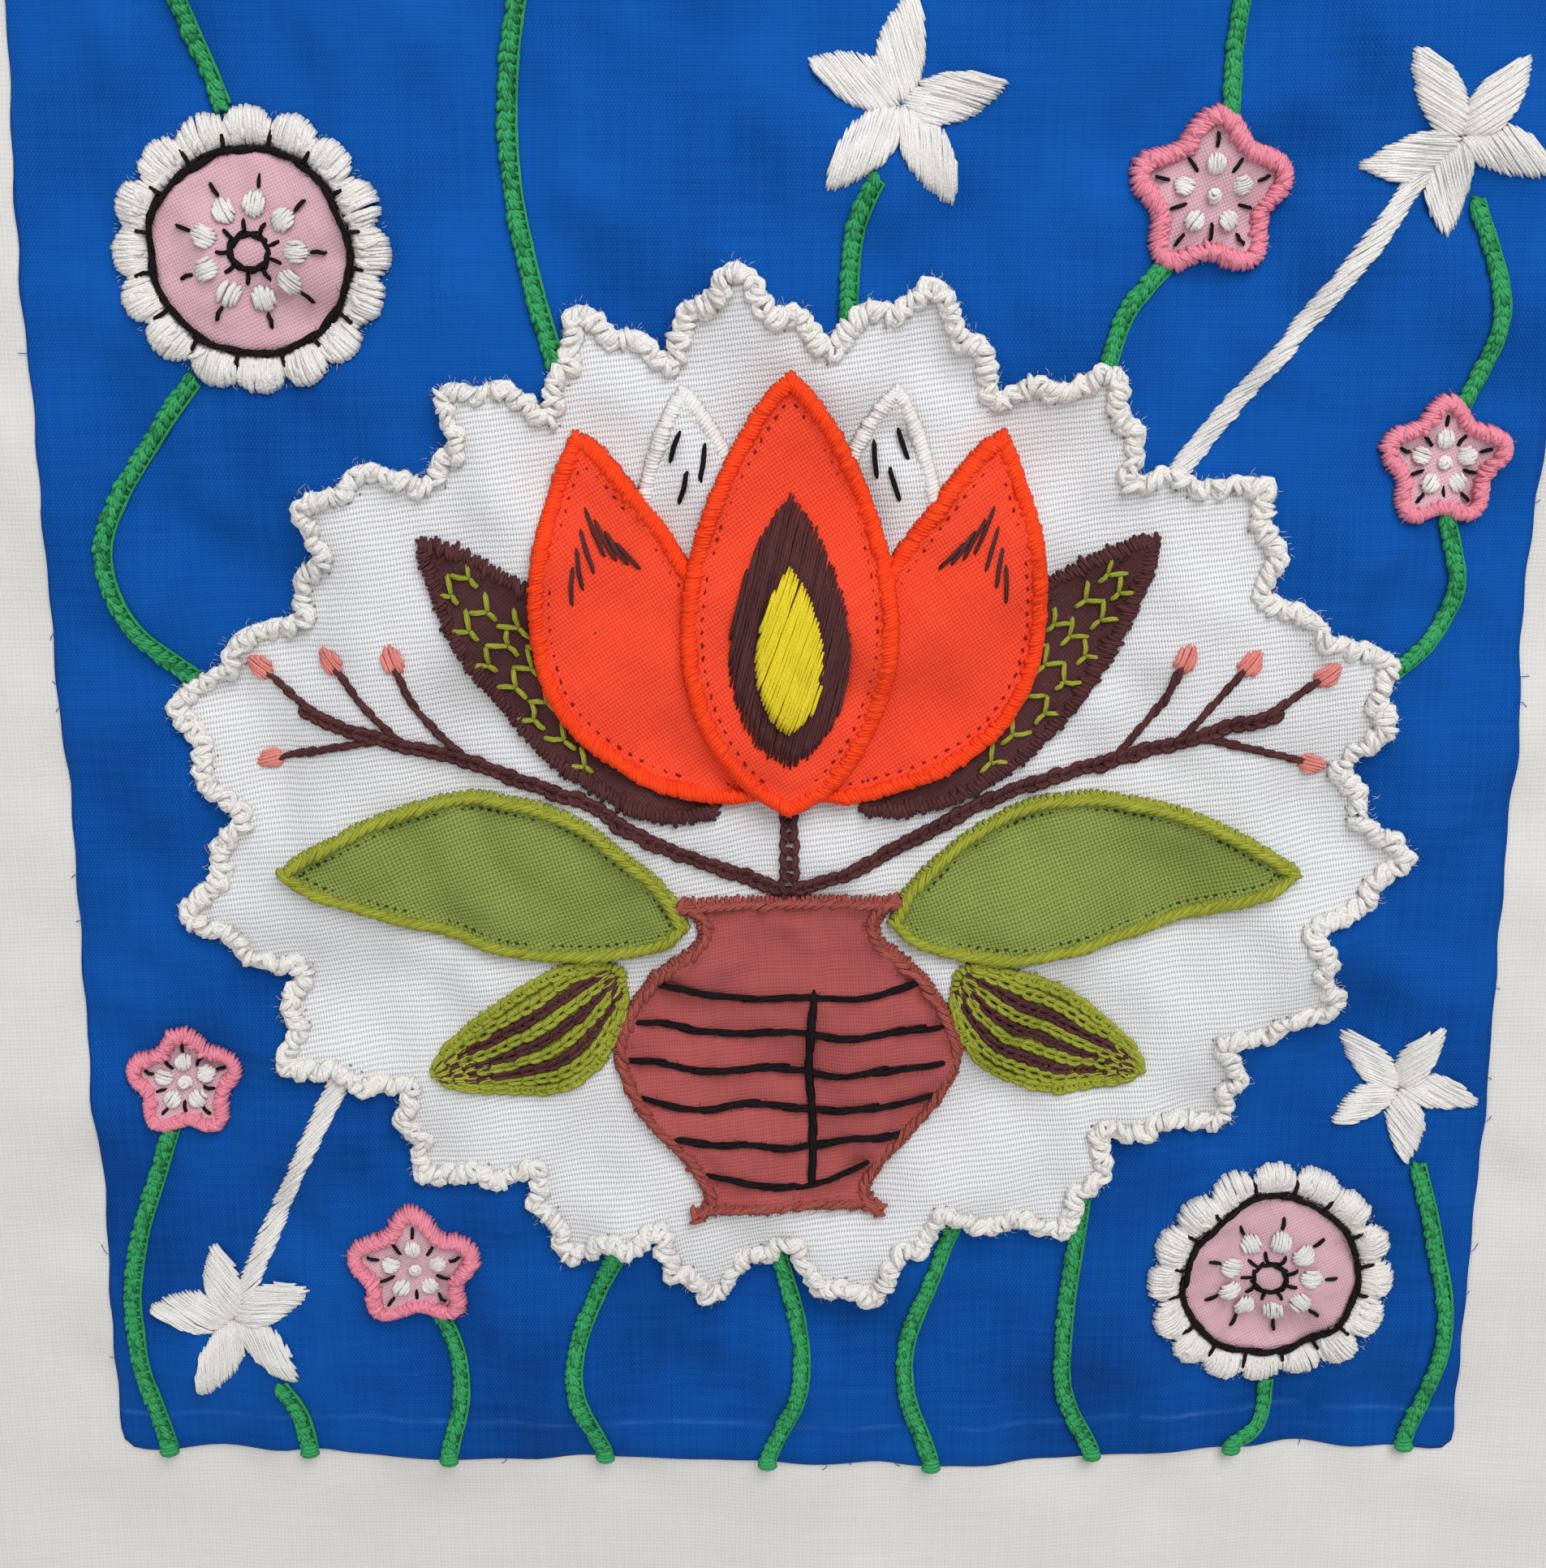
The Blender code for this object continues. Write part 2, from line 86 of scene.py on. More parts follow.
@dataclass(frozen=True)
class Drape:
    """The folds in which the cloth hangs, and the puckers that the stitching draws it into."""

    height: float = 400.0
    flat_top: float = 20.0
    folds: tuple[tuple[float, float, float, float], ...] = (
        (1.7, 148.0, 0.16, 0.7), (0.9, 92.0, -0.28, 2.1), (0.6, 230.0, 1.9, 4.0),
    )
    panel_half: float = 99.4
    panel_top: float = -61.0
    panel_bottom: float = -345.0
    pucker_count: int = 16
    pucker_depth: float = 0.0175
    pucker_lengths: tuple[float, float] = (9.0, 42.0)
    pucker_shift: float = -1.6
    loose_share: float = 0.18
    sewn_width: float = 24.0

    def fold(self, x: np.ndarray, z: np.ndarray) -> np.ndarray:
        """Give the y of the folds.

        Args:
            x: Places across the cloth.
            z: Places up the cloth.

        Returns:
            The y of the cloth's back, negative towards the viewer.
        """
        drop = np.clip(-z - self.flat_top, 0.0, None) / (self.height - self.flat_top)
        growth = drop * drop * (3.0 - 2.0 * drop)
        forward = sum(
            depth * (1.0 - np.sin(2.0 * np.pi * (x + lean * z) / length + phase))
            for depth, length, lean, phase in self.folds
        )
        return -growth * forward

    def pucker(self, x: np.ndarray, z: np.ndarray) -> np.ndarray:
        """Give the small puckers, deepest where the panel is sewn on and stitched.

        Args:
            x: Places across the cloth.
            z: Places up the cloth.

        Returns:
            What the puckers add to y.
        """
        rng = np.random.default_rng(11)
        total = np.zeros_like(x)
        for length in np.geomspace(*self.pucker_lengths, self.pucker_count):
            heading, phase = rng.uniform(0.0, 2.0 * np.pi, 2)
            across = x * math.cos(heading) + 0.8 * z * math.sin(heading)
            bend = 0.35 * np.sin(2.0 * np.pi * (z - 0.7 * x) / (length * 2.7) + phase * 3.0)
            total += length * self.pucker_depth * np.sin(2.0 * np.pi * across / length + phase + 3.0 * bend)
        from_side = self.panel_half - np.abs(x)
        from_end = np.minimum(self.panel_top - z, z - self.panel_bottom)
        inside = np.minimum(from_side, from_end)
        sewn = np.clip(0.5 + inside / self.sewn_width, 0.0, 1.0)
        return (total + self.pucker_shift) * (self.loose_share + (1.0 - self.loose_share) * sewn)

    def depth(self, x: np.ndarray, z: np.ndarray) -> np.ndarray:
        """Give the y of the ground cloth's back with folds and puckers."""
        return self.fold(x, z) + self.pucker(x, z)


DRAPE = Drape()


def laid(u: np.ndarray, v: np.ndarray, front: np.ndarray) -> np.ndarray:
    """Lay points of the picture on the hung cloth.

    Args:
        u: Places to the right of the picture's centre.
        v: Places above the picture's centre.
        front: How far each point lies before the ground cloth's back.

    Returns:
        One row of x, y and z for each point, in metres.
    """
    z = v + MOTIF_Z
    return np.column_stack((u, DRAPE.depth(u, z) - front, z)) * MM


# Lines and outlines.


def heading_way(angle: float) -> np.ndarray:
    """Give the unit direction at an angle, in radians anticlockwise from u."""
    return np.array((math.cos(angle), math.sin(angle)))


def left_of(way: np.ndarray) -> np.ndarray:
    """Give the direction to the left of a direction, or of each row of them."""
    return np.stack((-way[..., 1], way[..., 0]), axis=-1)


def smooth_line(points: Sequence[Point], steps: int) -> Line:
    """Draw a smooth line through a few points.

    Args:
        points: The points.
        steps: How many steps to take between two points.

    Returns:
        The line, one row of u and v for each point.
    """
    given = np.asarray(points, dtype=float)
    knots = np.vstack((2 * given[0] - given[1], given, 2 * given[-1] - given[-2]))
    share = (np.arange(steps) / steps)[:, None]
    stretches = []
    for a, b, c, d in zip(knots, knots[1:], knots[2:], knots[3:]):
        straight = 2 * b + (c - a) * share
        bent = (2 * a - 5 * b + 4 * c - d) * share**2 + (3 * b - a - 3 * c + d) * share**3
        stretches.append((straight + bent) / 2)
    return np.vstack((*stretches, given[-1:]))


@dataclass(frozen=True)
class Leaf:
    """A pointed leaf or petal: its two ends, its greatest width and how far it bows to the left."""

    base: Point
    tip: Point
    width: float
    bow: float = 0.0
    belly: float = 0.82
    fullness: float = 0.75

    def run(self) -> np.ndarray:
        """Give the way from its base to its tip."""
        return np.subtract(self.tip, self.base).astype(float)

    def left(self) -> np.ndarray:
        """Give the unit direction to its left."""
        return left_of(self.run()) / np.linalg.norm(self.run())

    def half(self, share: np.ndarray | float) -> np.ndarray:
        """Give half its width at a share of the way from base to tip."""
        return self.width / 2 * np.sin(np.pi * share**self.belly).clip(0.0) ** self.fullness

    def spine(self, share: np.ndarray | float) -> np.ndarray:
        """Give the places of its middle line at shares of the way from base to tip."""
        column = np.reshape(share, (-1, 1))
        return self.base + self.run() * column + self.left() * self.bow * np.sin(np.pi * column)

    def outline(self, steps: int = 26) -> Line:
        """Draw its edge.

        Args:
            steps: How many steps to take along each side.

        Returns:
            The closed outline, anticlockwise.
        """
        share = np.linspace(0.0, 1.0, steps + 1)[:, None]
        spine, half = self.spine(share), self.half(share)
        half[0] = half[-1] = 0.0
        return np.vstack((spine - self.left() * half, (spine + self.left() * half)[-2:0:-1]))


def round_outline(
    centre: Point, radius: float, lobes: int = 0, wave: float = 0.0, turn: float = 0.0,
    points: int = 96,
) -> Line:
    """Draw a circle, or a round outline with a wavy edge.

    Args:
        centre: Its middle.
        radius: Its mean radius.
        lobes: How many waves go round.
        wave: How deep they are.
        turn: Where the first wave stands, in radians.
        points: How many points to take.

    Returns:
        The closed outline, anticlockwise.
    """
    angle = np.arange(points) * 2.0 * np.pi / points
    reach = radius + wave * np.cos(lobes * (angle - turn))
    return np.column_stack((centre[0] + reach * np.cos(angle), centre[1] + reach * np.sin(angle)))


def mirrored(shape: Line, side: Side) -> Line:
    """Give the shape itself for the right side, or its mirror image for the left."""
    return shape if side is Side.RIGHT else shape[::-1] * (-1.0, 1.0)


def closed(outline: Line) -> Line:
    """Give an outline with its first point repeated at its end."""
    return np.vstack((outline, outline[:1]))


def evenly(line: Line, pitch: float) -> tuple[Line, Line]:
    """Take points along a line at an even spacing.

    Args:
        line: The line to follow.
        pitch: The spacing.

    Returns:
        The points, and the line's unit direction at each.
    """
    travelled = np.concatenate(((0.0,), np.cumsum(np.linalg.norm(np.diff(line, axis=0), axis=1))))
    count = max(2, round(travelled[-1] / pitch))
    places = (np.arange(count) + 0.5) * travelled[-1] / count
    reach = min(pitch, 0.6)
    point, ahead, behind = (
        np.column_stack([np.interp(places + shift, travelled, column) for column in line.T])
        for shift in (0.0, reach, -reach)
    )
    way = ahead - behind
    return point, way / np.linalg.norm(way, axis=1, keepdims=True).clip(1e-9)


def stations(line: Line, pitch: float) -> Iterable[tuple[np.ndarray, np.ndarray, np.ndarray]]:
    """Walk along a line at an even spacing.

    Args:
        line: The line to follow.
        pitch: The spacing.

    Returns:
        For each step its place, the line's direction and the direction to its left.
    """
    point, way = evenly(line, pitch)
    return zip(point, way, left_of(way))


def shifted(line: Line, left: float) -> Line:
    """Draw a line again beside itself.

    Args:
        line: The line to follow.
        left: How far to its left.

    Returns:
        The new line.
    """
    way = np.gradient(line, axis=0)
    way /= np.linalg.norm(way, axis=1, keepdims=True).clip(1e-9)
    return line + left_of(way) * left


def from_edge(points: np.ndarray, outline: Line) -> np.ndarray:
    """Measure how far points lie from a closed outline.

    Args:
        points: One row of u and v for each point.
        outline: The closed outline.

    Returns:
        Each point's distance.
    """
    nearest = np.full(len(points), np.inf)
    for origin, step in zip(outline, np.roll(outline, -1, axis=0) - outline):
        away = points - origin
        share = np.clip(away @ step / max(step @ step, 1e-12), 0.0, 1.0)
        gap = away - share[:, None] * step
        np.minimum(nearest, np.hypot(gap[:, 0], gap[:, 1]), out=nearest)
    return nearest


# Finishes.


@dataclass
class NodeSheet:
    """A node tree with short ways to add its nodes."""

    tree: bpy.types.NodeTree

    def fill(self, node: bpy.types.Node, inputs: dict[str | int, object]) -> None:
        """Set a node's inputs.

        Args:
            node: The node.
            inputs: A value or a socket for each named or numbered input.
        """
        for name, value in inputs.items():
            if isinstance(value, Socket):
                self.tree.links.new(value, node.inputs[name])
            else:
                node.inputs[name].default_value = value

    def add(
        self, kind: str, inputs: dict[str | int, object] | None = None, **settings: object
    ) -> bpy.types.Node:
        """Add a node.

        Args:
            kind: The node's type name.
            inputs: A value or a socket for each named or numbered input.
            **settings: Properties of the node.

        Returns:
            The new node.
        """
        node = self.tree.nodes.new(kind)
        for name, value in settings.items():
            setattr(node, name, value)
        self.fill(node, inputs or {})
        return node

    def math(self, operation: str, *values: object, clamp: bool = False) -> Socket:
        """Add a Math node and give its output."""
        inputs = dict(enumerate(values))
        return self.add("ShaderNodeMath", inputs, operation=operation, use_clamp=clamp).outputs[0]

    def vector(self, operation: str, first: object, second: object) -> Socket:
        """Add a Vector Math node of two vectors and give its output."""
        return self.add("ShaderNodeVectorMath", {0: first, 1: second}, operation=operation).outputs[0]

    def height_of(self, place: Socket) -> Socket:
        """Give the Z of a place."""
        return self.add("ShaderNodeSeparateXYZ", {0: place}).outputs["Z"]

    def mix(self, share: object, first: object, second: object) -> Socket:
        """Mix two colours.

        Args:
            share: How much of the second to take.
            first: The first colour or socket.
            second: The second colour or socket.

        Returns:
            The mixed colour's socket.
        """
        inputs = {0: share}
        for index, value in ((6, first), (7, second)):
            inputs[index] = value if isinstance(value, Socket) else (*value, 1.0)
        return self.add("ShaderNodeMix", inputs, data_type="RGBA").outputs[2]

    def noise(self, vector: object, scale: float, detail: float = 2.0) -> Socket:
        """Add a noise texture and give its factor."""
        inputs = {"Vector": vector, "Scale": scale, "Detail": detail}
        return self.add("ShaderNodeTexNoise", inputs).outputs["Fac"]


def new_group(name: str, numbers: dict[str, float], outputs: Sequence[str]) -> NodeSheet:
    """Start a shader node group.

    Args:
        name: The group's name.
        numbers: A default for each number input. There is an input for a vector too.
        outputs: Names of the number outputs.

    Returns:
        The empty group, with nodes named Inputs and Outputs.
    """
    tree = bpy.data.node_groups.new(name, "ShaderNodeTree")
    tree.interface.new_socket("Vector", in_out="INPUT", socket_type="NodeSocketVector")
    for label, default in numbers.items():
        socket = tree.interface.new_socket(label, in_out="INPUT", socket_type="NodeSocketFloat")
        socket.default_value = default
    for label in outputs:
        tree.interface.new_socket(label, in_out="OUTPUT", socket_type="NodeSocketFloat")
    sheet = NodeSheet(tree)
    sheet.add("NodeGroupInput", name="Inputs")
    sheet.add("NodeGroupOutput", name="Outputs")
    return sheet


def new_material(name: str) -> tuple[bpy.types.Material, NodeSheet, bpy.types.Node]:
    """Start a material.

    Args:
        name: The material's name.

    Returns:
        The material, its nodes and its shader.
    """
    material = bpy.data.materials.new(name)
    material.use_nodes = True
    sheet = NodeSheet(material.node_tree)
    return material, sheet, sheet.tree.nodes["Principled BSDF"]


WEAVE_DRIFT = 0.0005
SLUB_STRETCHES = ((2600.0, 1.0, 60.0), (60.0, 1.0, 1500.0))


@cache
def plain_weave() -> bpy.types.NodeTree:
    """Make the group that weaves a cloth: one thread over, one under.

    Returns:
        The group, with the threads' height, the gaps between them, the uneven threads, and the short
        dashes of warp that show on the face.
    """
    pitches = {"Warp": 0.42, "Weft": 0.42}
    sheet = new_group("plain_weave", pitches, ("Height", "Gap", "Slub", "Dash"))
    entry, out = sheet.tree.nodes["Inputs"], sheet.tree.nodes["Outputs"]
    vector = entry.outputs["Vector"]
    drift = sheet.add("ShaderNodeTexNoise", {"Vector": vector, "Scale": 190.0, "Detail": 1.0})
    pushed = sheet.vector("SUBTRACT", drift.outputs["Color"], (0.5, 0.5, 0.5))
    pushed = sheet.add("ShaderNodeVectorMath", {0: pushed, "Scale": WEAVE_DRIFT}, operation="SCALE")
    axes = sheet.add("ShaderNodeSeparateXYZ", {0: sheet.vector("ADD", vector, pushed.outputs[0])})
    waves = []
    for axis, pitch in (("X", "Warp"), ("Z", "Weft")):
        half_turns = sheet.math("MULTIPLY", axes.outputs[axis], math.pi / MM)
        waves.append(sheet.math("SINE", sheet.math("DIVIDE", half_turns, entry.outputs[pitch])))
    over = sheet.math("MULTIPLY_ADD", sheet.math("MULTIPLY", *waves), 1.6, 0.5, clamp=True)
    under = sheet.math("SUBTRACT", 1.0, over)
    rises = []
    for wave, shows in zip(waves, (over, under)):
        thread = sheet.math("POWER", sheet.math("ABSOLUTE", wave), 0.6)
        rises.append(sheet.math("MULTIPLY", thread, sheet.math("MULTIPLY_ADD", shows, 0.6, 0.4)))
    height = sheet.math("MAXIMUM", *rises)
    gaps = [sheet.math("SUBTRACT", 1.0, sheet.math("ABSOLUTE", wave)) for wave in waves]
    gap = sheet.math("POWER", sheet.math("MULTIPLY", *gaps), 0.8)
    slubs = [sheet.noise(sheet.vector("MULTIPLY", vector, stretch), 1.0, 1.0) for stretch in SLUB_STRETCHES]
    slub = sheet.math("MULTIPLY", sheet.math("ADD", *slubs), 0.5)
    dash = sheet.math("MULTIPLY", over, sheet.math("POWER", sheet.math("ABSOLUTE", waves[0]), 0.8))
    sheet.fill(out, {"Height": height, "Gap": gap, "Slub": slub, "Dash": dash})
    return sheet.tree


@cache
def thread_twist() -> bpy.types.NodeTree:
    """Make the group that twists a thread's strands.

    Returns:
        The group, with the strands' height and a fibre mask.
    """
    sheet = new_group("thread_twist", {"Strands": 3.0, "Turns": 0.5}, ("Height", "Fibre"))
    entry, out = sheet.tree.nodes["Inputs"], sheet.tree.nodes["Outputs"]
    axes = sheet.add("ShaderNodeSeparateXYZ", {0: entry.outputs["Vector"]})
    round_it = sheet.math("MULTIPLY", axes.outputs["Y"], entry.outputs["Strands"])
    along = sheet.math("MULTIPLY", axes.outputs["X"], entry.outputs["Turns"])
    wave = sheet.math("SINE", sheet.math("MULTIPLY", sheet.math("ADD", round_it, along), 2.0 * math.pi))
    height = sheet.math("POWER", sheet.math("MULTIPLY_ADD", wave, 0.5, 0.5, clamp=True), 0.6)
    fibre = sheet.noise(sheet.vector("MULTIPLY", entry.outputs["Vector"], (0.9, 9.0, 1.0)), 2.2, 3.0)
    sheet.fill(out, {"Height": height, "Fibre": fibre})
    return sheet.tree


@cache
def cloth_wear() -> bpy.types.NodeTree:
    """Make the group that mottles a cloth in soft blotches, for fading and soiling and, where strong, for
    painted shade of puckers, with a little lint.

    Returns:
        The group, with the blotches and the lint.
    """
    sheet = new_group("cloth_wear", {}, ("Blotch", "Lint"))
    entry, out = sheet.tree.nodes["Inputs"], sheet.tree.nodes["Outputs"]
    blotch = sheet.noise(entry.outputs["Vector"], 38.0, 4.0)
    specks = sheet.noise(entry.outputs["Vector"], 1500.0, 2.0)
    lint = sheet.math("MULTIPLY", sheet.math("SUBTRACT", specks, 0.68), 9.0, clamp=True)
    sheet.fill(out, {"Blotch": blotch, "Lint": lint})
    return sheet.tree


@dataclass(frozen=True)
class ClothFinish:
    """A woven cotton: its colours, its thread spacing in millimetres and how it takes the light."""

    name: str
    slot: str
    light: Colour
    dark: Colour
    warp: float = 0.42
    weft: float = 0.42
    turn: float = 0.0
    relief: float = 0.5
    warp_face: float = 0.0
    # How strongly the gaps between the threads are darkened: painted shade.
    gap: float = 0.3
    # Soft blotches of fading and soiling; where strong, as on the blue, they are painted shade of puckers.
    blotch: float = 0.16
    lint: float = 0.1
    lint_colour: Colour = (0.8, 0.8, 0.8)
    sheen: float = 0.06
    specular: float = 0.15
    # The ridge where a hem is turned under gets a patchy painted highlight, centred at ridge_z and ridge_half
    # wide.
    ridge_z: float | None = None
    ridge_half: float = 0.6
    # How much lighter the cloth is painted towards its top: painted light.
    painted_top_light: float = 0.0

    @cache
    def material(self) -> bpy.types.Material:
        """Make the cloth's material, once.

        Returns:
            The material.
        """
        material, sheet, shader = new_material(self.name)
        place = sheet.add("ShaderNodeTexCoord").outputs["Object"]
        rotation = (0.0, math.radians(self.turn), 0.0)
        turned = sheet.add("ShaderNodeMapping", {"Vector": place, "Rotation": rotation}).outputs[0]
        threads = {"Vector": turned, "Warp": self.warp, "Weft": self.weft}
        weave = sheet.add("ShaderNodeGroup", threads, node_tree=plain_weave())
        mottle_and_shade = sheet.add("ShaderNodeGroup", {"Vector": place}, node_tree=cloth_wear())
        tone = sheet.math("MULTIPLY_ADD", weave.outputs["Slub"], 0.9, -0.05)
        # Painted light and shade: the raised crowns of the threads, or on a warp-faced cloth the warp's
        # dashes, are painted lighter and the hollows darker.
        tone = sheet.math("MULTIPLY_ADD", weave.outputs["Height"], 0.35 * (1.0 - self.warp_face), tone)
        tone = sheet.math("MULTIPLY_ADD", weave.outputs["Dash"], 0.9 * self.warp_face, tone)
        # Soft blotches of fading and soiling; on the blue panel they are strong and stand in as painted shade
        # of the puckers.
        shift = sheet.math("MULTIPLY_ADD", mottle_and_shade.outputs["Blotch"], 2.0 * self.blotch, -self.blotch)
        # Painted light: the cloth is painted lighter towards its top, standing in for the brighter light and
        # sheen there.
        if self.painted_top_light:
            risen = sheet.math("SUBTRACT", sheet.height_of(place), MOTIF_Z * MM)
            shift = sheet.math("MULTIPLY_ADD", risen, self.painted_top_light, shift)
        tone = sheet.math("ADD", tone, shift, clamp=True)
        colour = sheet.mix(tone, self.dark, self.light)
        # Painted shade: the gaps between the threads are darkened towards a deep copy of the dark colour.
        shade = tuple(value * 0.35 for value in self.dark)
        colour = sheet.mix(sheet.math("MULTIPLY", weave.outputs["Gap"], self.gap), colour, shade)
        colour = sheet.mix(sheet.math("MULTIPLY", mottle_and_shade.outputs["Lint"], self.lint), colour, self.lint_colour)
        # Painted highlight along the ridge of the turned hem.
        if self.ridge_z is not None:
            colour = self.painted_ridge_highlight(sheet, place, colour)
        relief = {"Strength": self.relief, "Distance": 0.22 * MM, "Height": weave.outputs["Height"]}
        sheet.fill(shader, {
            "Base Color": colour,
            "Roughness": sheet.math("MULTIPLY_ADD", weave.outputs["Height"], -0.12, 0.95),
            "Normal": sheet.add("ShaderNodeBump", relief).outputs[0],
            "Sheen Weight": self.sheen,
            "Sheen Roughness": 0.6,
            "Specular IOR Level": self.specular,
        })
        return material

    def painted_ridge_highlight(self, sheet: NodeSheet, place: Socket, colour: Socket) -> Socket:
        """Paint a patchy pale highlight along the ridge where its hem is turned under.

        Args:
            sheet: The material's nodes.
            place: Object coordinates.
            colour: The colour so far.

        Returns:
            The colour with the painted highlight on the ridge.
        """
        away = sheet.math("ABSOLUTE", sheet.math("SUBTRACT", sheet.height_of(place), self.ridge_z * MM))
        near = sheet.math("SUBTRACT", 1.0, sheet.math("DIVIDE", away, self.ridge_half * MM), clamp=True)
        patchy = sheet.noise(place, 160.0, 3.0)
        share = sheet.math("MULTIPLY", near, sheet.math("MULTIPLY_ADD", patchy, 0.8, -0.24, clamp=True))
        return sheet.mix(share, colour, self.lint_colour)


@dataclass(frozen=True)
class ThreadFinish:
    """A stranded cotton: its colours, its twist and its soft sheen."""

    name: str
    slot: str
    light: Colour
    dark: Colour
    strands: float = 5.0
    turns: float = 0.22
    relief: float = 0.6
    sheen: float = 0.0
    wool: float = 0.45

    @cache
    def material(self) -> bpy.types.Material:
        """Make the thread's material, once.

        Returns:
            The material.
        """
        material, sheet, shader = new_material(self.name)
        along = sheet.add("ShaderNodeUVMap", uv_map="thread").outputs[0]
        strands = {"Vector": along, "Strands": self.strands, "Turns": self.turns}
        twist = sheet.add("ShaderNodeGroup", strands, node_tree=thread_twist())
        tone = sheet.add("ShaderNodeAttribute", attribute_name="tone").outputs["Fac"]
        # Painted shade: the grooves between the strands are painted darker and their crowns lighter.
        tone = sheet.math("MULTIPLY_ADD", twist.outputs["Height"], 0.55, sheet.math("MULTIPLY", tone, 0.3))
        fibre = sheet.math("MULTIPLY_ADD", twist.outputs["Fibre"], 1.1, -0.5)
        place = sheet.add("ShaderNodeTexCoord").outputs["Object"]
        wool = sheet.math("SUBTRACT", sheet.noise(place, 3000.0, 3.0), 0.5)
        fibre = sheet.math("MULTIPLY_ADD", wool, 1.1 * self.wool, fibre)
        tone = sheet.math("ADD", tone, fibre, clamp=True)
        rise = sheet.math("MULTIPLY_ADD", twist.outputs["Fibre"], 0.5, twist.outputs["Height"])
        rise = sheet.math("MULTIPLY_ADD", wool, 3.0 * self.wool, rise)
        relief = {"Strength": self.relief, "Distance": 0.14 * MM, "Height": rise}
        sheet.fill(shader, {
            "Base Color": sheet.mix(tone, self.dark, self.light),
            "Roughness": sheet.math("MULTIPLY_ADD", twist.outputs["Fibre"], 0.2, 0.78),
            "Normal": sheet.add("ShaderNodeBump", relief).outputs[0],
            "Sheen Weight": self.sheen,
            "Sheen Roughness": 0.5,
            "Specular IOR Level": 0.08,
        })
        return material


GROUND_COTTON = ClothFinish(
    "ground_cotton", "ground", (0.715, 0.700, 0.675), (0.62, 0.605, 0.578), 0.56, 0.60,
    relief=0.32, gap=0.09, blotch=0.10, lint=0.05,
)
# The blue's strong blotches are painted shade of its puckers, it is painted lighter towards its top as
# painted light, and its hem ridge gets a painted highlight.
BLUE_COTTON = ClothFinish(
    "blue_cotton", "blue", (0.0040, 0.096, 0.425), (0.0016, 0.036, 0.190), 0.24, 0.43,
    relief=0.35, gap=0.15, warp_face=0.55, blotch=0.75, lint=0.10, lint_colour=(0.06, 0.22, 0.62),
    sheen=0.0, specular=0.08, ridge_z=-338.4, painted_top_light=2.0,
)
WHITE_COTTON = ClothFinish(
    "white_cotton", "white", (0.835, 0.835, 0.85), (0.71, 0.712, 0.728), 0.37, 0.74, 8.0,
    relief=0.6, gap=1.0, blotch=0.12, lint=0.08,
)
ORANGE_COTTON = ClothFinish(
    "orange_cotton", "orange", (0.98, 0.083, 0.032), (0.80, 0.037, 0.013), 0.46, 0.52, 33.0,
    gap=0.6, lint_colour=(0.95, 0.35, 0.2), lint=0.05, sheen=0.03,
)
OLIVE_COTTON = ClothFinish(
    "olive_linen", "olive", (0.305, 0.375, 0.088), (0.175, 0.23, 0.038), 0.5, 0.54, 20.0,
    relief=0.8, gap=0.95, lint_colour=(0.45, 0.5, 0.15), sheen=0.04,
)
BROWN_COTTON = ClothFinish(
    "brown_cotton", "brown", (0.095, 0.030, 0.033), (0.040, 0.013, 0.015), 0.42, 0.46, 40.0,
    gap=0.4, lint=0.45, blotch=0.3, lint_colour=(0.24, 0.14, 0.14), sheen=0.05,
)
BRICK_COTTON = ClothFinish(
    "brick_cotton", "brick", (0.48, 0.105, 0.100), (0.31, 0.058, 0.062), 0.38, 0.52, 4.0,
    gap=0.3, blotch=0.25, lint_colour=(0.6, 0.25, 0.22), sheen=0.04,
)
PINK_COTTON = ClothFinish(
    "pink_cotton", "pink", (0.75, 0.46, 0.535), (0.57, 0.32, 0.385), 0.38, 0.44, 25.0,
    gap=0.35, lint_colour=(0.85, 0.6, 0.62), sheen=0.05,
)
GROUND_THREAD = ThreadFinish("ground_floss", "ground", (0.76, 0.74, 0.71), (0.62, 0.60, 0.57))
BLUE_THREAD = ThreadFinish("blue_floss", "blue", (0.02, 0.15, 0.58), (0.004, 0.06, 0.32))
CREAM_THREAD = ThreadFinish(
    "cream_floss", "white_thread", (0.89, 0.865, 0.83), (0.69, 0.655, 0.615), sheen=0.03, wool=1.0
)
WHITE_THREAD = ThreadFinish(
    "white_floss", "white_thread", (0.90, 0.88, 0.855), (0.69, 0.665, 0.635), sheen=0.03, wool=0.8
)
GREEN_THREAD = ThreadFinish("green_floss", "green_thread", (0.060, 0.42, 0.145), (0.020, 0.205, 0.072))
# A darker green: painted shade in the slots of the vines' stitches, and a few darker stitches.
GREEN_SHADE = ThreadFinish("green_shade_floss", "green_thread", (0.038, 0.280, 0.096), (0.015, 0.135, 0.047))
ORANGE_THREAD = ThreadFinish("orange_floss", "orange", (0.99, 0.085, 0.018), (0.83, 0.035, 0.008))
OLIVE_THREAD = ThreadFinish("olive_floss", "olive", (0.40, 0.42, 0.055), (0.20, 0.23, 0.022))
BROWN_THREAD = ThreadFinish("brown_floss", "brown_thread", (0.128, 0.046, 0.048), (0.044, 0.016, 0.018))
BLACK_THREAD = ThreadFinish("black_floss", "brown_thread", (0.018, 0.013, 0.015), (0.005, 0.004, 0.005))
RUST_THREAD = ThreadFinish("rust_floss", "brick", (0.42, 0.112, 0.090), (0.23, 0.046, 0.040))
ROSE_THREAD = ThreadFinish("rose_floss", "pink", (0.88, 0.325, 0.41), (0.70, 0.185, 0.26))
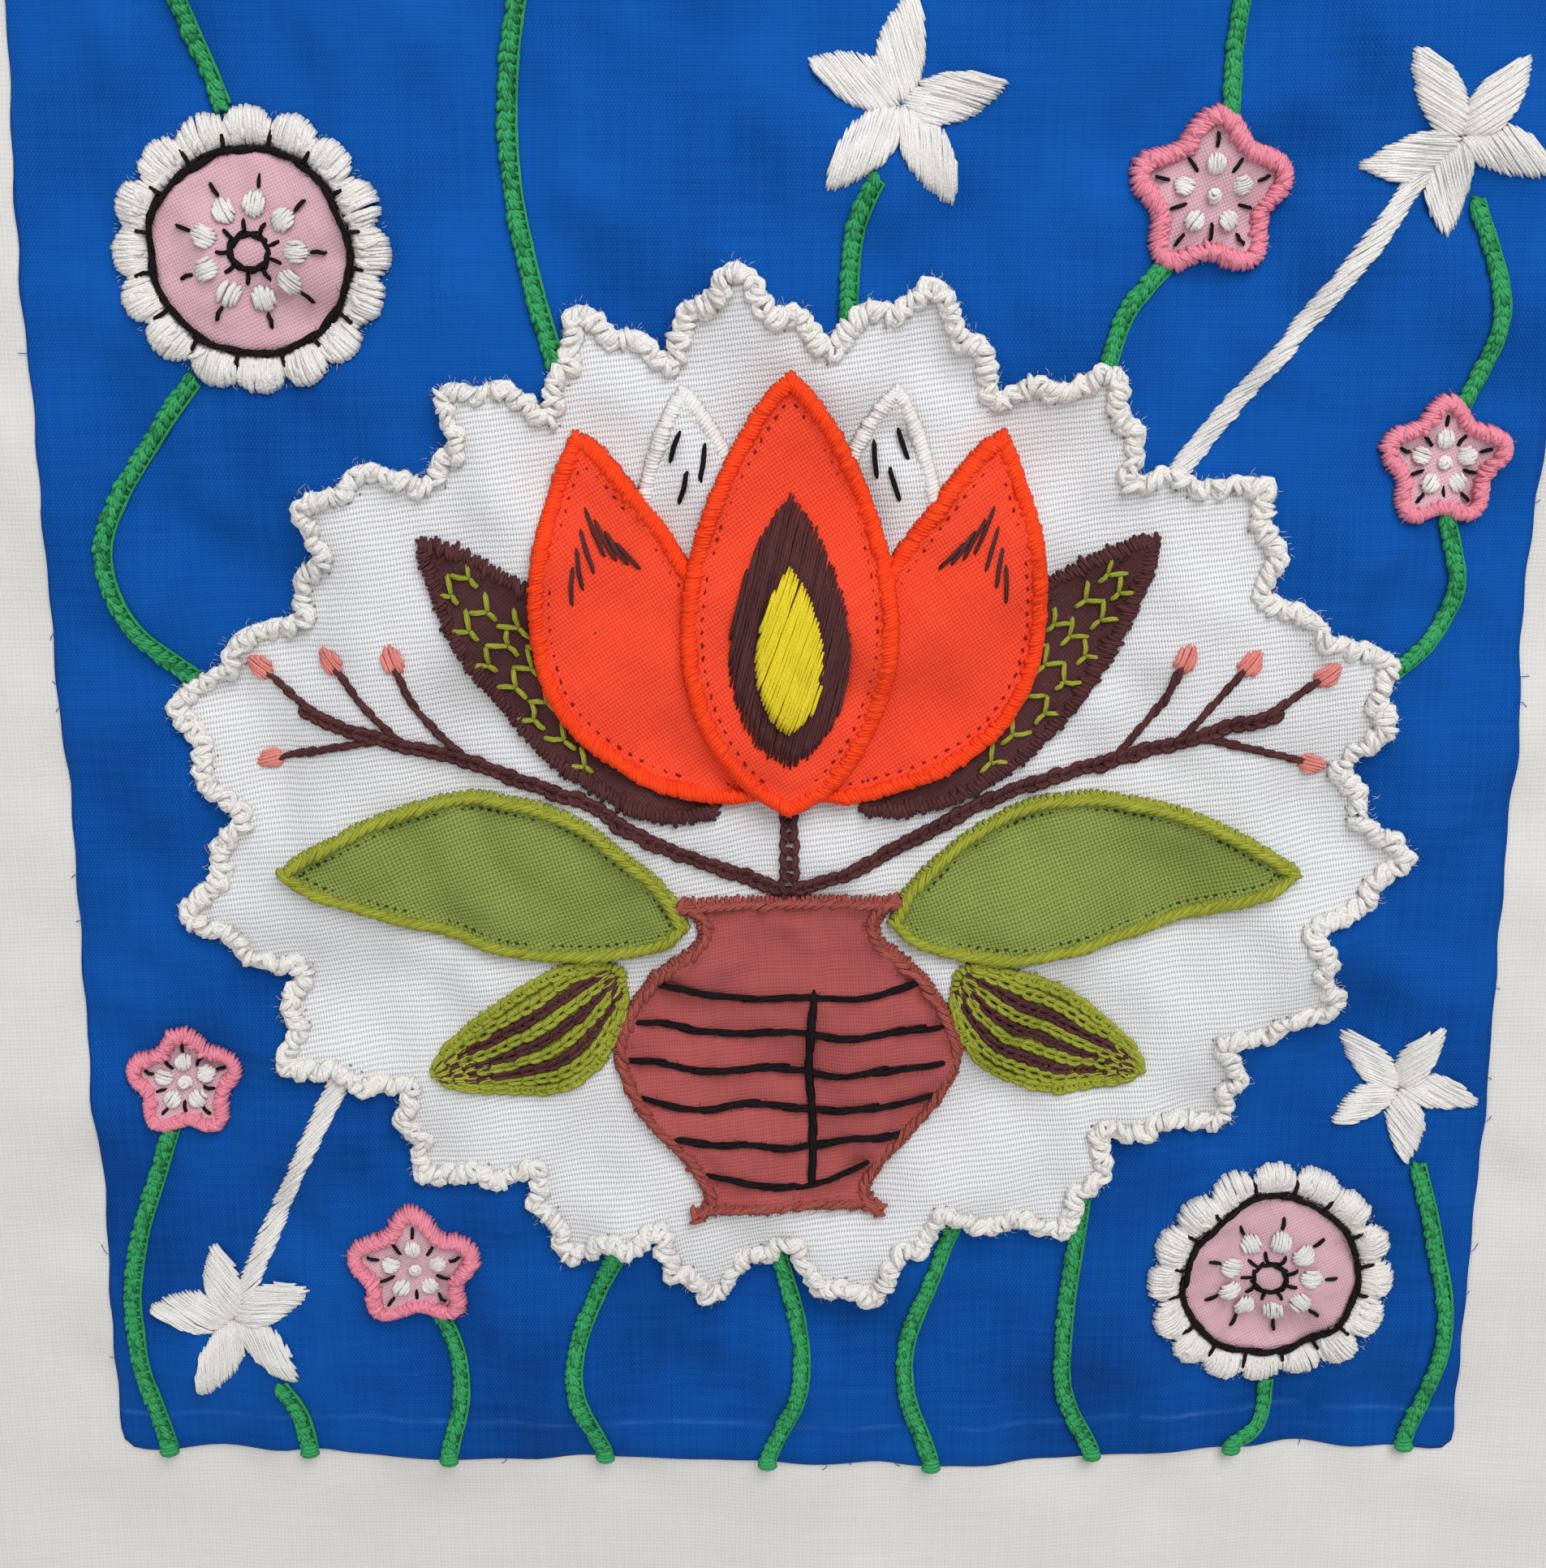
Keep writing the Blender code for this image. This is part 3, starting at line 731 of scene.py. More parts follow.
CORAL_THREAD = ThreadFinish("coral_floss", "pink", (0.84, 0.32, 0.28), (0.62, 0.17, 0.14))
YELLOW_THREAD = ThreadFinish("yellow_floss", "yellow_thread", (0.90, 0.77, 0.045), (0.66, 0.50, 0.018))
# These three are painted shade: dark threads laid as short stitches where needle holes show dark.
PRICK_SHADE = ThreadFinish("prick_floss", "orange", (0.40, 0.02, 0.006), (0.16, 0.008, 0.004))
OLIVE_SHADE = ThreadFinish("olive_shade_floss", "olive", (0.06, 0.07, 0.008), (0.03, 0.035, 0.004))
WHITE_SHADE = ThreadFinish("white_shade_floss", "white_thread", (0.40, 0.38, 0.35), (0.22, 0.205, 0.19))


# Cloths.


def add_piece(
    mesh: bpy.types.Mesh, name: str, finish: ClothFinish | ThreadFinish, nodes: tuple[str, ...]
) -> bpy.types.Object:
    """Put a finished mesh in the scene as a piece of the hanging.

    Args:
        mesh: The mesh, in its place.
        name: The piece's name.
        finish: What it is made of.
        nodes: The solids that it stands for.

    Returns:
        The piece.
    """
    mesh.materials.append(finish.material())
    mesh.shade_smooth()
    piece = bpy.data.objects.new(name, mesh)
    bpy.context.scene.collection.objects.link(piece)
    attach(piece, "root")
    if nodes:
        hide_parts(*nodes)
    LOG.info("%s: %d faces", name, len(mesh.polygons))
    return piece


def places_of(mesh: bpy.types.Mesh) -> np.ndarray:
    """Read where a mesh's vertices are.

    Args:
        mesh: The mesh.

    Returns:
        One row of x, y and z for each vertex.
    """
    places = np.empty(len(mesh.vertices) * 3)
    mesh.vertices.foreach_get("co", places)
    return places.reshape(-1, 3)


def thicken(piece: bpy.types.Object, thickness: float) -> None:
    """Give a cloth its thickness, behind its face.

    Args:
        piece: The cloth.
        thickness: Its thickness.
    """
    solid = piece.modifiers.new("thickness", "SOLIDIFY")
    solid.thickness = thickness * MM
    solid.offset = -1.0


@dataclass
class ClothPiece:
    """One cut piece of cloth, laid on the folds, with its edge rolled under."""

    name: str
    outline: Line
    front: Front
    finish: ClothFinish
    nodes: tuple[str, ...]
    rests_on: tuple[str, ...]
    pitch: float = 0.9
    thickness: float = 0.45
    roll: float = 0.45
    roll_width: float = 2.2
    crinkled: float = 1.0
    crinkle_lengths: tuple[float, ...] = (4.2, 5.5, 7.3, 10.0, 14.0)
    smallest_sheet: float = 10.0

    def crown(self, distance: np.ndarray) -> np.ndarray:
        """Give the rolled edge and the groove inside it.

        Args:
            distance: How far each point lies from the edge.

        Returns:
            How far each point stands proud of the layer's face.
        """
        share = np.clip(distance / self.roll_width, 0.0, 1.0)
        rolled = self.roll * np.sin(np.pi * share**0.7)
        groove = 0.45 * self.roll * np.exp(-(((distance - self.roll_width - 0.2) / 0.55) ** 2))
        return rolled - groove - 0.3 * np.exp(-distance / 0.25)

    def crinkle(self, points: np.ndarray, distance: np.ndarray) -> np.ndarray:
        """Give the small crinkles that the stitching draws up.

        Args:
            points: One row of u and v for each point.
            distance: How far each point lies from the edge.

        Returns:
            How far each point is raised.
        """
        rng = np.random.default_rng(len(self.name) + 7)
        total = np.zeros(len(points))
        for length in self.crinkle_lengths:
            heading, phase = rng.uniform(0.0, 2.0 * np.pi, 2)
            across, along = points @ heading_way(heading), points @ left_of(heading_way(heading))
            bend = 1.6 * np.sin(2.0 * np.pi * along / (length * 2.3) + 2.0 * phase)
            total += 0.0085 * length * np.sin(2.0 * np.pi * across / length + phase + bend)
        return self.crinkled * total * (0.45 + np.exp(-distance / 4.0)) * np.clip(distance / 1.5, 0.0, 1.0)

    def flat_sheet(self) -> bmesh.types.BMesh:
        """Cut the outline out of flat cloth and divide it finely.

        Returns:
            The flat cloth, in metres.
        """
        bm = bmesh.new()
        hung = self.outline + (0.0, MOTIF_Z)
        verts = [bm.verts.new((x * MM, 0.0, z * MM)) for x, z in hung]
        edges = [bm.edges.new((verts[index - 1], vert)) for index, vert in enumerate(verts)]
        bmesh.ops.contextual_create(bm, geom=edges)
        low, high = hung.min(axis=0), hung.max(axis=0)
        for axis, normal in ((0, (1.0, 0.0, 0.0)), (1, (0.0, 0.0, 1.0))):
            for place in np.arange(low[axis] + self.pitch * 0.53, high[axis], self.pitch):
                whole = bm.verts[:] + bm.edges[:] + bm.faces[:]
                where = tuple(value * place * MM for value in normal)
                bmesh.ops.bisect_plane(bm, geom=whole, dist=1e-6, plane_co=where, plane_no=normal)
        return bm

    def build(self) -> None:
        """Build and dress the piece."""
        bm = self.flat_sheet()
        mesh = bpy.data.meshes.new(self.name)
        bm.normal_update()
        if sum(face.normal.y * face.calc_area() for face in bm.faces) > 0.0:
            bmesh.ops.reverse_faces(bm, faces=bm.faces[:])
        bm.to_mesh(mesh)
        flat_area = sum(face.calc_area() for face in bm.faces)
        bm.free()
        x, _, z = places_of(mesh).T / MM
        points = np.column_stack((x, z - MOTIF_Z))
        distance = from_edge(points, self.outline)
        proud = self.crown(distance) + self.crinkle(points, distance) + self.front.value
        mesh.vertices.foreach_set("co", laid(points[:, 0], points[:, 1], proud).ravel())
        piece = add_piece(mesh, self.name, self.finish, self.nodes)
        thicken(piece, self.thickness)


# Stitches.


SHORTEST_SATIN = 0.7


@dataclass
class ThreadWork:
    """Many lengths of one thread, joined in one piece."""

    name: str
    finish: ThreadFinish
    nodes: tuple[str, ...] = ()
    sides: int = 5
    seed: int = 1
    rows: list[np.ndarray] = field(default_factory=list)
    clear_of_back: float = 0.25

    def __post_init__(self) -> None:
        """Seed the unevenness of the hand."""
        self.rng = np.random.default_rng(self.seed)

    def length(self, path: Line, front: np.ndarray, radius: np.ndarray) -> None:
        """Lay one length of thread.

        Args:
            path: One row of u and v for each point.
            front: How far each point lies before the ground cloth's back.
            radius: The thread's radius at each point.
        """
        lowest = np.asarray(radius) + self.clear_of_back
        self.rows.append(np.column_stack((path, np.maximum(front, lowest), radius)))

    def build(self) -> None:
        """Make the tubes of all the lengths as one piece."""
        rows = np.concatenate(self.rows)
        counts = np.array([len(row) for row in self.rows])
        ends = np.cumsum(counts) - 1
        starts = ends - counts + 1
        index = np.arange(len(rows))
        ahead, behind = index + 1, index - 1
        ahead[ends], behind[starts] = ends, starts
        spine = laid(rows[:, 0], rows[:, 1], rows[:, 2])
        along = spine[ahead] - spine[behind]
        along /= np.linalg.norm(along, axis=1, keepdims=True).clip(1e-12)
        side = np.cross((0.0, -1.0, 0.0), along)
        side /= np.linalg.norm(side, axis=1, keepdims=True).clip(1e-12)
        top = np.cross(along, side)
        turn = np.arange(self.sides) * 2.0 * np.pi / self.sides
        ring = side[:, None] * np.cos(turn)[None, :, None] + top[:, None] * np.sin(turn)[None, :, None]
        corners = (spine[:, None] + ring * (rows[:, 3] * MM)[:, None, None]).reshape(-1, 3)
        low = np.delete(index, ends)
        faces, uvs = self.tube_faces(low)
        travelled = np.cumsum(np.linalg.norm(spine - spine[behind], axis=1)) / MM
        travelled -= np.repeat(travelled[starts], counts)
        uvs[..., 0] = travelled[uvs[..., 0].astype(int)]
        mesh = bpy.data.meshes.new(self.name)
        caps = [[start * self.sides + j for j in reversed(range(self.sides))] for start in starts.tolist()]
        caps += [[end * self.sides + j for j in range(self.sides)] for end in ends.tolist()]
        mesh.from_pydata(corners, [], faces.tolist() + caps)
        layer = mesh.uv_layers.new(name="thread")
        flat = np.zeros((len(mesh.loops), 2), dtype=np.float32)
        flat[: uvs.shape[0] * 4] = uvs.reshape(-1, 2)
        layer.uv.foreach_set("vector", flat.ravel())
        tone = mesh.attributes.new("tone", "FLOAT", "POINT")
        shades = np.repeat(self.rng.uniform(0.0, 1.0, len(counts)), counts * self.sides)
        tone.data.foreach_set("value", shades.astype(np.float32))
        mesh.validate()
        add_piece(mesh, self.name, self.finish, self.nodes)

    def tube_faces(self, low: np.ndarray) -> tuple[np.ndarray, np.ndarray]:
        """List the faces round every stretch of thread.

        Args:
            low: The lower ring of each stretch.

        Returns:
            The faces' corners, and for each corner the ring that it lies on and its place round it.
        """
        here, after = np.meshgrid(low, np.arange(self.sides), indexing="ij")
        rings = np.stack((here, here, here + 1, here + 1), axis=-1).reshape(-1, 4)
        steps = np.stack((after, after + 1, after + 1, after), axis=-1).reshape(-1, 4)
        corners = rings * self.sides + steps % self.sides
        return corners, np.stack((rings.astype(float), steps / self.sides), axis=-1)

    def satin(
        self, outline: Line, heading: float, front: float, rise: float = 0.5, pitch: float = 0.5,
        radius: float = 0.3, tooth: float = 0.35,
    ) -> None:
        """Fill an outline with threads side by side.

        Args:
            outline: The closed outline.
            heading: Which way the threads run, in degrees from u.
            front: The cloth's face.
            rise: How high the threads stand at their middles.
            pitch: Their spacing.
            radius: Their radius.
            tooth: How unevenly they end.
        """
        way = heading_way(math.radians(heading))
        across = left_of(way)
        run, rank = outline @ way, outline @ across
        run_on, rank_on = np.roll(run, -1), np.roll(rank, -1)
        share = np.array((0.0, 0.1, 0.32, 0.68, 0.9, 1.0))
        for level in np.arange(rank.min() + pitch * 0.5, rank.max(), pitch):
            cut = (rank - level) * (rank_on - level) < 0.0
            part = (level - rank[cut]) / (rank_on[cut] - rank[cut])
            places = np.sort(run[cut] + part * (run_on[cut] - run[cut]))
            for first, last in zip(places[::2], places[1::2]):
                first -= self.rng.uniform(-0.3, 1.0) * tooth
                last += self.rng.uniform(-0.3, 1.0) * tooth
                if last - first < SHORTEST_SATIN:
                    continue
                side = level + self.rng.normal(0.0, 0.05) + self.rng.normal(0.0, 0.05, 6)
                path = np.outer(first + (last - first) * share, way) + np.outer(side, across)
                arch = rise * np.sin(np.pi * share.clip(0.03, 0.97)) ** 0.55 * self.rng.uniform(0.85, 1.15)
                thick = radius * np.array((0.5, 0.95, 1.0, 1.0, 0.95, 0.5))
                self.length(path, front + arch - np.array((0.3, 0, 0, 0, 0, 0.3)), thick)

    def over_edge(
        self, outline: Line, front: float, inner: float, outer: float, rise: float, drop: float,
        pitch: float, radius: float, slant: float = 0.15, uneven: float = 0.12,
    ) -> None:
        """Work stitches side by side over a cloth's edge.

        Args:
            outline: The closed outline, anticlockwise.
            front: The cloth's face.
            inner: How far in they reach.
            outer: How far out they reach.
            rise: How high they stand.
            drop: How far down they go outside the edge.
            pitch: Their spacing.
            radius: Their radius.
            slant: How far they lean, as a share of their length.
            uneven: How unevenly they reach.
        """
        share = np.array((0.0, 0.2, 0.5, 0.8, 1.0))
        for place, along, inside in stations(closed(outline), pitch):
            start = inner + self.rng.normal(0.0, uneven)
            stop = -outer - abs(self.rng.normal(0.0, uneven))
            reach = start + (stop - start) * share
            lean = (slant + self.rng.normal(0.0, 0.10)) * (start - stop) * (share - 0.5)
            path = place + np.outer(reach, inside) + np.outer(lean, along)
            arch = (rise + self.rng.normal(0.0, 0.06)) * np.array((-0.15, 0.72, 1.0, 0.45, 0.0))
            arch[-1] = -drop
            thick = radius * self.rng.uniform(0.85, 1.15) * np.array((0.6, 1.0, 1.1, 1.0, 0.7))
            self.length(path, front + arch, thick)

    def rope(
        self, line: Line, front: float, radius: float, pitch: float, spread: float, lift: float = 0.0,
        uneven: float = 0.06,
    ) -> None:
        """Work a line of slanting stitches, each beside the last, like a rope.

        Args:
            line: The line to follow.
            front: The cloth's face.
            radius: The thread's radius.
            pitch: The stitches' spacing.
            spread: How far each stitch crosses the line.
            lift: How far the line is raised.
            uneven: How unsteadily it is worked.
        """
        share = np.array((-1.0, -0.7, -0.2, 0.3, 0.75, 1.05))
        for place, along, left in stations(line, pitch):
            side = spread * np.array((-0.8, -0.7, -0.25, 0.3, 0.7, 0.8)) + self.rng.normal(0.0, uneven)
            path = place + np.outer(share * pitch, along) + np.outer(side, left)
            arch = lift + radius * np.array((-0.2, 0.45, 0.95, 0.85, 0.35, -0.3))
            thick = radius * self.rng.uniform(0.85, 1.12) * np.array((0.45, 0.9, 1.05, 1.05, 0.85, 0.4))
            self.length(path, front + arch, thick)

    def chain(
        self, line: Line, front: float, width: float, radius: float, pitch: float, uneven: float = 0.08
    ) -> None:
        """Work a line of chain stitch, each loop held down by the next.

        Args:
            line: The line to follow.
            front: The cloth's face.
            width: The loops' outside width.
            radius: The thread's radius.
            pitch: The loops' spacing.
            uneven: How unsteadily it is worked.
        """
        share = np.array((-0.15, 0.15, 0.5, 0.85, 1.08, 1.16, 1.08, 0.85, 0.5, 0.15, -0.15)) - 0.5
        lateral = np.array((0.1, 0.8, 1.0, 0.8, 0.35, 0.0, -0.35, -0.8, -1.0, -0.8, -0.1))
        arch = np.array((0.75, 1.0, 0.85, 0.5, 0.15, 0.0, 0.15, 0.5, 0.85, 1.0, 0.75)) * radius * 1.15
        for place, along, left in stations(line, pitch):
            half = (width / 2 - radius) * self.rng.uniform(0.8, 1.15)
            shift = self.rng.normal(0.0, uneven, 2)
            path = place + shift + np.outer(share * pitch, along) + np.outer(lateral * half, left)
            thick = np.full(11, radius * self.rng.uniform(0.88, 1.1))
            self.length(path, front + arch, thick)

    def core(self, line: Line, front: float, radius: float, lump: float) -> None:
        """Lay one long lumpy cord.

        Args:
            line: The line to follow.
            front: How far the cord's middle stands out.
            radius: Its mean radius.
            lump: How much fatter or thinner it gets, as a share of its radius.
        """
        point, _ = evenly(line, 0.7)
        soft = np.convolve(self.rng.normal(0.0, 1.0, len(point) + 2), (0.5, 1.0, 0.5), "valid")
        thick = radius * (1.0 + lump * np.clip(soft, -1.8, 1.8) / 1.8)
        self.length(point, front + 0.4 * (thick - radius), thick)

    def meander(
        self, line: Line, front: float, radius: float, swing: float, length: float, phase: float, lump: float
    ) -> None:
        """Lay a soft cord that swings from side to side of a line.

        Args:
            line: The line to follow.
            front: How far the cord's middle stands out.
            radius: Its mean radius.
            swing: How far it swings.
            length: How long a swing to both sides is.
            phase: Where in a swing it starts, in radians.
            lump: How much fatter or thinner it gets, as a share of its radius.
        """
        step = 0.36
        point, way = evenly(line, step)
        soft = [
            np.convolve(self.rng.normal(0.0, 1.0, len(point) + 8), np.full(9, 0.25), "valid").clip(-1.8, 1.8)
            for _ in range(3)
        ]
        turn = phase + np.cumsum(1.0 + 0.28 * soft[0]) * step * 2.0 * np.pi / length
        side = swing * np.sin(turn) * (1.0 + 0.25 * soft[1])
        thick = radius * (1.0 + lump * soft[2] / 1.8)
        height = front + 0.4 * radius * np.cos(turn) + 0.3 * (thick - radius)
        self.length(point + left_of(way) * side[:, None], height, thick)

    def dabs(self, line: Line, front: float, reach: float, radius: float, pitch: float) -> None:
        """Scatter short thick stitches over a cord, at all angles.

        Args:
            line: The line to follow.
            front: How far they stand out.
            reach: Half their mean length.
            radius: Their mean radius.
            pitch: Their spacing.
        """
        share = np.array((-1.0, -0.6, 0.0, 0.6, 1.0))
        for place, along, left in stations(line, pitch):
            heading = self.rng.uniform(0.25, 0.8) * math.pi * self.rng.choice((-1.0, 1.0))
            run = (along * math.cos(heading) + left * math.sin(heading)) * reach * self.rng.uniform(0.7, 1.2)
            middle = place + left * self.rng.uniform(-0.45, 0.45) + along * self.rng.uniform(-0.3, 0.3)
            arch = self.rng.uniform(0.75, 1.1) * np.array((-0.75, 0.0, 0.25, 0.0, -0.75))
            thick = radius * self.rng.uniform(0.8, 1.25) * np.array((0.55, 0.95, 1.1, 0.95, 0.55))
            self.length(middle + np.outer(share, run), front + arch, thick)

    def fuzz(self, line: Line, front: float, reach: float, density: float) -> None:
        """Let fine fibres stand out on both sides of a line.

        Args:
            line: The line that they come from.
            front: How far they stand out.
            reach: Their greatest length.
            density: How many there are in a millimetre.
        """
        for place, along, left in stations(line, 1.0 / density):
            length = reach * self.rng.uniform(0.3, 1.0)
            side = self.rng.choice((-1.0, 1.0))
            run = self.rng.normal(0.0, 0.6) * length * np.array((0.0, 0.3, 1.0))
            out = side * length * np.array((0.0, 0.6, 1.0))
            start = place + left * self.rng.uniform(-0.5, 0.5) * reach
            height = front + self.rng.uniform(-0.4, 0.6) + np.array((0.0, 0.15, 0.1))
            path = start + np.outer(out, left) + np.outer(run, along)
            self.length(path, height, np.array((0.05, 0.04, 0.02)))

    def straight(
        self, start: Point, end: Point, front: float, radius: float, rise: float = 0.0
    ) -> None:
        """Work one straight stitch.

        Args:
            start: Where the thread comes up.
            end: Where it goes down.
            front: The cloth's face.
            radius: The thread's radius.
            rise: How far its middle is raised.
        """
        share = np.array((0.0, 0.12, 0.5, 0.88, 1.0))
        path = np.asarray(start, dtype=float) + np.outer(share, np.subtract(end, start))
        path[1:4] += self.rng.normal(0.0, 0.07, (3, 2))
        arch = np.array((-0.5, 0.6, 1.0, 0.6, -0.5)) * radius + rise * np.sin(np.pi * share)
        self.length(path, front + arch, radius * np.array((0.5, 0.95, 1.05, 0.95, 0.5)))

    def running(self, line: Line, front: float, radius: float, stitch: float, gap: float) -> None:
        """Work a row of short stitches with gaps between.

        Args:
            line: The line to follow.
            front: The cloth's face.
            radius: The thread's radius.
            stitch: The stitches' length.
            gap: The gaps' length.
        """
        for place, along, _ in stations(line, stitch + gap):
            half = along * stitch / 2 * self.rng.uniform(0.75, 1.15)
            self.straight(place - half, place + half, front, radius)

    def knot(self, centre: Point, front: float, size: float, radius: float) -> None:
        """Work a French knot.

        Args:
            centre: Its middle.
            front: The cloth's face.
            size: Its outside diameter.
            radius: The thread's radius.
        """
        turn = np.linspace(0.0, 2.0 * np.pi * 1.75, 15) + self.rng.uniform(0.0, 6.0)
        coil = np.linspace(size / 2 - radius, radius * 0.5, 15)
        path = np.asarray(centre, dtype=float) + np.column_stack((np.cos(turn), np.sin(turn))) * coil[:, None]
        self.length(path, front + radius * np.linspace(0.5, 2.4, 15), np.full(15, radius))


# The hanging's parts.


@dataclass
class GroundCloth:
    """The off-white ground cloth, hemmed on all four sides, with its row of hemming stitches."""

    width: float = 300.0
    height: float = 400.0
    hem: float = 12.0
    hem_back: float = 0.9
    stitch_inset: float = 1.2
    pitch: float = 2.6
    thickness: float = 0.4

    def build(self) -> None:
        """Build the cloth with its hem, and the stitches that hold the hem."""
        bm = bmesh.new()
        half = self.width / 2
        columns = self.places(-half, half)
        rows = self.places(-self.height, 0.0)
        bmesh.ops.create_grid(bm, x_segments=len(columns) - 1, y_segments=len(rows) - 1, size=0.5)
        ordered = sorted(bm.verts, key=lambda vert: (round(vert.co.y, 6), round(vert.co.x, 6)))
        grid_x, grid_z = np.meshgrid(columns, rows)
        for vert, x, z in zip(ordered, grid_x.ravel(), grid_z.ravel()):
            vert.co = (x, 0.0, z)
        bm.normal_update()
        if bm.faces[:][0].normal.y > 0.0:
            bmesh.ops.reverse_faces(bm, faces=bm.faces[:])
        self.turn_hem(bm, half)
        self.set_order(bm)
        mesh = bpy.data.meshes.new("ground_cloth_sheet")
        bm.to_mesh(mesh)
        bm.free()
        self.lay(mesh)
        piece = add_piece(mesh, "ground_cloth_sheet", GROUND_COTTON, ("ground_cloth",))
        thicken(piece, self.thickness)
        self.stitch_hem(half)

    def places(self, low: float, high: float) -> np.ndarray:
        """Choose where the grid lines run: close together at the edges, even between.

        Args:
            low: Where the cloth starts.
            high: Where it ends.

        Returns:
            The places.
        """
        count = round((high - low) / self.pitch)
        inner = np.linspace(low + 1.0, high - 1.0, count)
        return np.concatenate(((low, low + 0.15, low + 0.45), inner, (high - 0.45, high - 0.15, high)))

    def turn_hem(self, bm: bmesh.types.BMesh, half: float) -> None:
        """Turn the hem to the back along each edge.

        Args:
            bm: The flat cloth.
            half: Half its width.
        """
        steps = ((0.0, 0.25), (0.0, 0.65), (0.35, self.hem_back), (self.hem, self.hem_back))
        for axis, edge, inward in ((0, -half, 1.0), (0, half, -1.0), (2, -self.height, 1.0), (2, 0.0, -1.0)):
            rim = [
                found for found in bm.edges
                if found.is_boundary and all(abs(vert.co[axis] - edge) < 1e-4 for vert in found.verts)
            ]
            for drawn_in, back in steps:
                grown = bmesh.ops.extrude_edge_only(bm, edges=rim)
                verts = [part for part in grown["geom"] if isinstance(part, bmesh.types.BMVert)]
                rim = [
                    part for part in grown["geom"]
                    if isinstance(part, bmesh.types.BMEdge) and all(vert in set(verts) for vert in part.verts)
                ]
                for vert in verts:
                    vert.co[axis] = edge + inward * drawn_in
                    vert.co.y = back

    def set_order(self, bm: bmesh.types.BMesh) -> None:
        """List edges and faces by their vertices, because the extrusions' order varies between runs.

        Args:
            bm: The flat cloth with its hem.
        """
        bm.verts.index_update()
        for parts in (bm.edges, bm.faces):
            lowest = [sorted(vert.index for vert in part.verts)[:3] for part in parts]
            ranks = {part: rank for part, rank in zip(parts, np.lexsort(np.array(lowest).T[::-1]).argsort())}
            parts.sort(key=lambda part: float(ranks[part]))

    def lay(self, mesh: bpy.types.Mesh) -> None:
        """Lay the cloth on its folds, its edges softly uneven.

        Args:
            mesh: The flat cloth, its hem behind it.
        """
        x, back, z = places_of(mesh).T
        half = self.width / 2
        from_side, from_end = half - np.abs(x), np.minimum(-z, self.height + z)
        from_rim = np.minimum(from_side, from_end)
        rounded = 0.35 * np.exp(-from_rim / 0.3) * (back == 0.0)
        edge_x = np.exp(-from_side / 8.0) * np.sin(z / 13.0 + 0.5 * np.sin(z / 5.3)) * 0.35
        edge_z = np.exp(-from_end / 8.0) * np.sin(x / 15.0 + 0.6 * np.sin(x / 6.1)) * 0.3
        stitched = 0.16 * np.exp(-(((from_rim - self.hem + self.stitch_inset) / 0.8) ** 2))
        y = DRAPE.depth(x, z) - Front.GROUND.value + rounded + back + stitched * (back == 0.0)
        y = np.minimum(y, DRAPE.depth(x, z) + self.hem_back)
        moved = np.column_stack((x - edge_x * np.sign(x), y, z + edge_z * np.where(z > -200, -1.0, 1.0)))
        mesh.vertices.foreach_set("co", (moved * MM).ravel())

    def stitch_hem(self, half: float) -> None:
        """Hold the hem with small stitches that prick through to the face.

        Args:
            half: Half the cloth's width.
        """
        work = ThreadWork("hem_stitches", GROUND_THREAD, seed=5)
        inset = self.hem - self.stitch_inset
        left, right = -half + inset, half - inset
        low, high = -self.height + inset - MOTIF_Z, -inset - MOTIF_Z
        corners = np.array(((left, low), (right, low), (right, high), (left, high), (left, low)))
        for start, end in zip(corners, corners[1:]):
            line = np.linspace(start, end, 60)
            work.running(line, Front.GROUND.value - 0.08, 0.16, 1.0, 4.6)
        work.build()


@dataclass
class BluePanel:
    """The blue panel, its edges turned under and a few threads come loose at its side."""

    corner: float = 2.4
    waver: float = 0.45
    waver_length: float = 71.0
    fray_pitch: float = 3.4
    fray_share: float = 0.14

    def outline(self) -> Line:
        """Draw the panel's outline, with rounded corners and edges that waver a little.

        Returns:
            The closed outline in the picture's millimetres, anticlockwise.
        """
        top, bottom = DRAPE.panel_top, DRAPE.panel_bottom
        middle, half_height = (top + bottom) / 2, (top - bottom) / 2
        corners = []
        for across, up, start in ((1, 1, 0), (-1, 1, 90), (-1, -1, 180), (1, -1, 270)):
            for angle in np.radians(start + np.arange(0, 91, 15)):
                corners.append((
                    across * (DRAPE.panel_half - self.corner) + self.corner * math.cos(angle),
                    up * (half_height - self.corner) + self.corner * math.sin(angle),
                ))
        line, _ = evenly(closed(np.array(corners)), 1.9)
        turns = 2 * np.pi * (line[:, 0] - 1.3 * (line[:, 1] + middle)) / self.waver_length
        inward = self.waver * (1 + np.sin(turns)) / 2 + 0.12 * np.sin(turns * 5.3 + 1.0)
        line = line - np.column_stack((inward, inward)) * np.sign(line)
        return line + (0.0, middle - MOTIF_Z)

    def build(self) -> None:
        """Build the panel and its loose threads."""
        outline = self.outline()
        panel = ClothPiece(
            "panel_sheet", outline, Front.PANEL, BLUE_COTTON, ("panel",), ("ground_cloth_sheet",),
            pitch=2.0, roll=0.22, roll_width=1.6, crinkled=0.0,
        )
        panel.build()
        work = ThreadWork("panel_frays", BLUE_THREAD, sides=4, seed=9)
        for place, along, left in stations(closed(outline), self.fray_pitch):
            if work.rng.uniform() > self.fray_share:
                continue
            reach = work.rng.uniform(0.35, 1.3)
            bend = along * work.rng.normal(0.0, 0.7)
            path = place - np.outer((-0.4, 0.3, 0.7, 1.0), left * reach) + np.outer((0, 0, 0.4, 1.0), bend)
            work.length(path, Front.GROUND.value + np.array((0.5, 0.35, 0.15, 0.12)), np.full(4, 0.055))
        work.build()


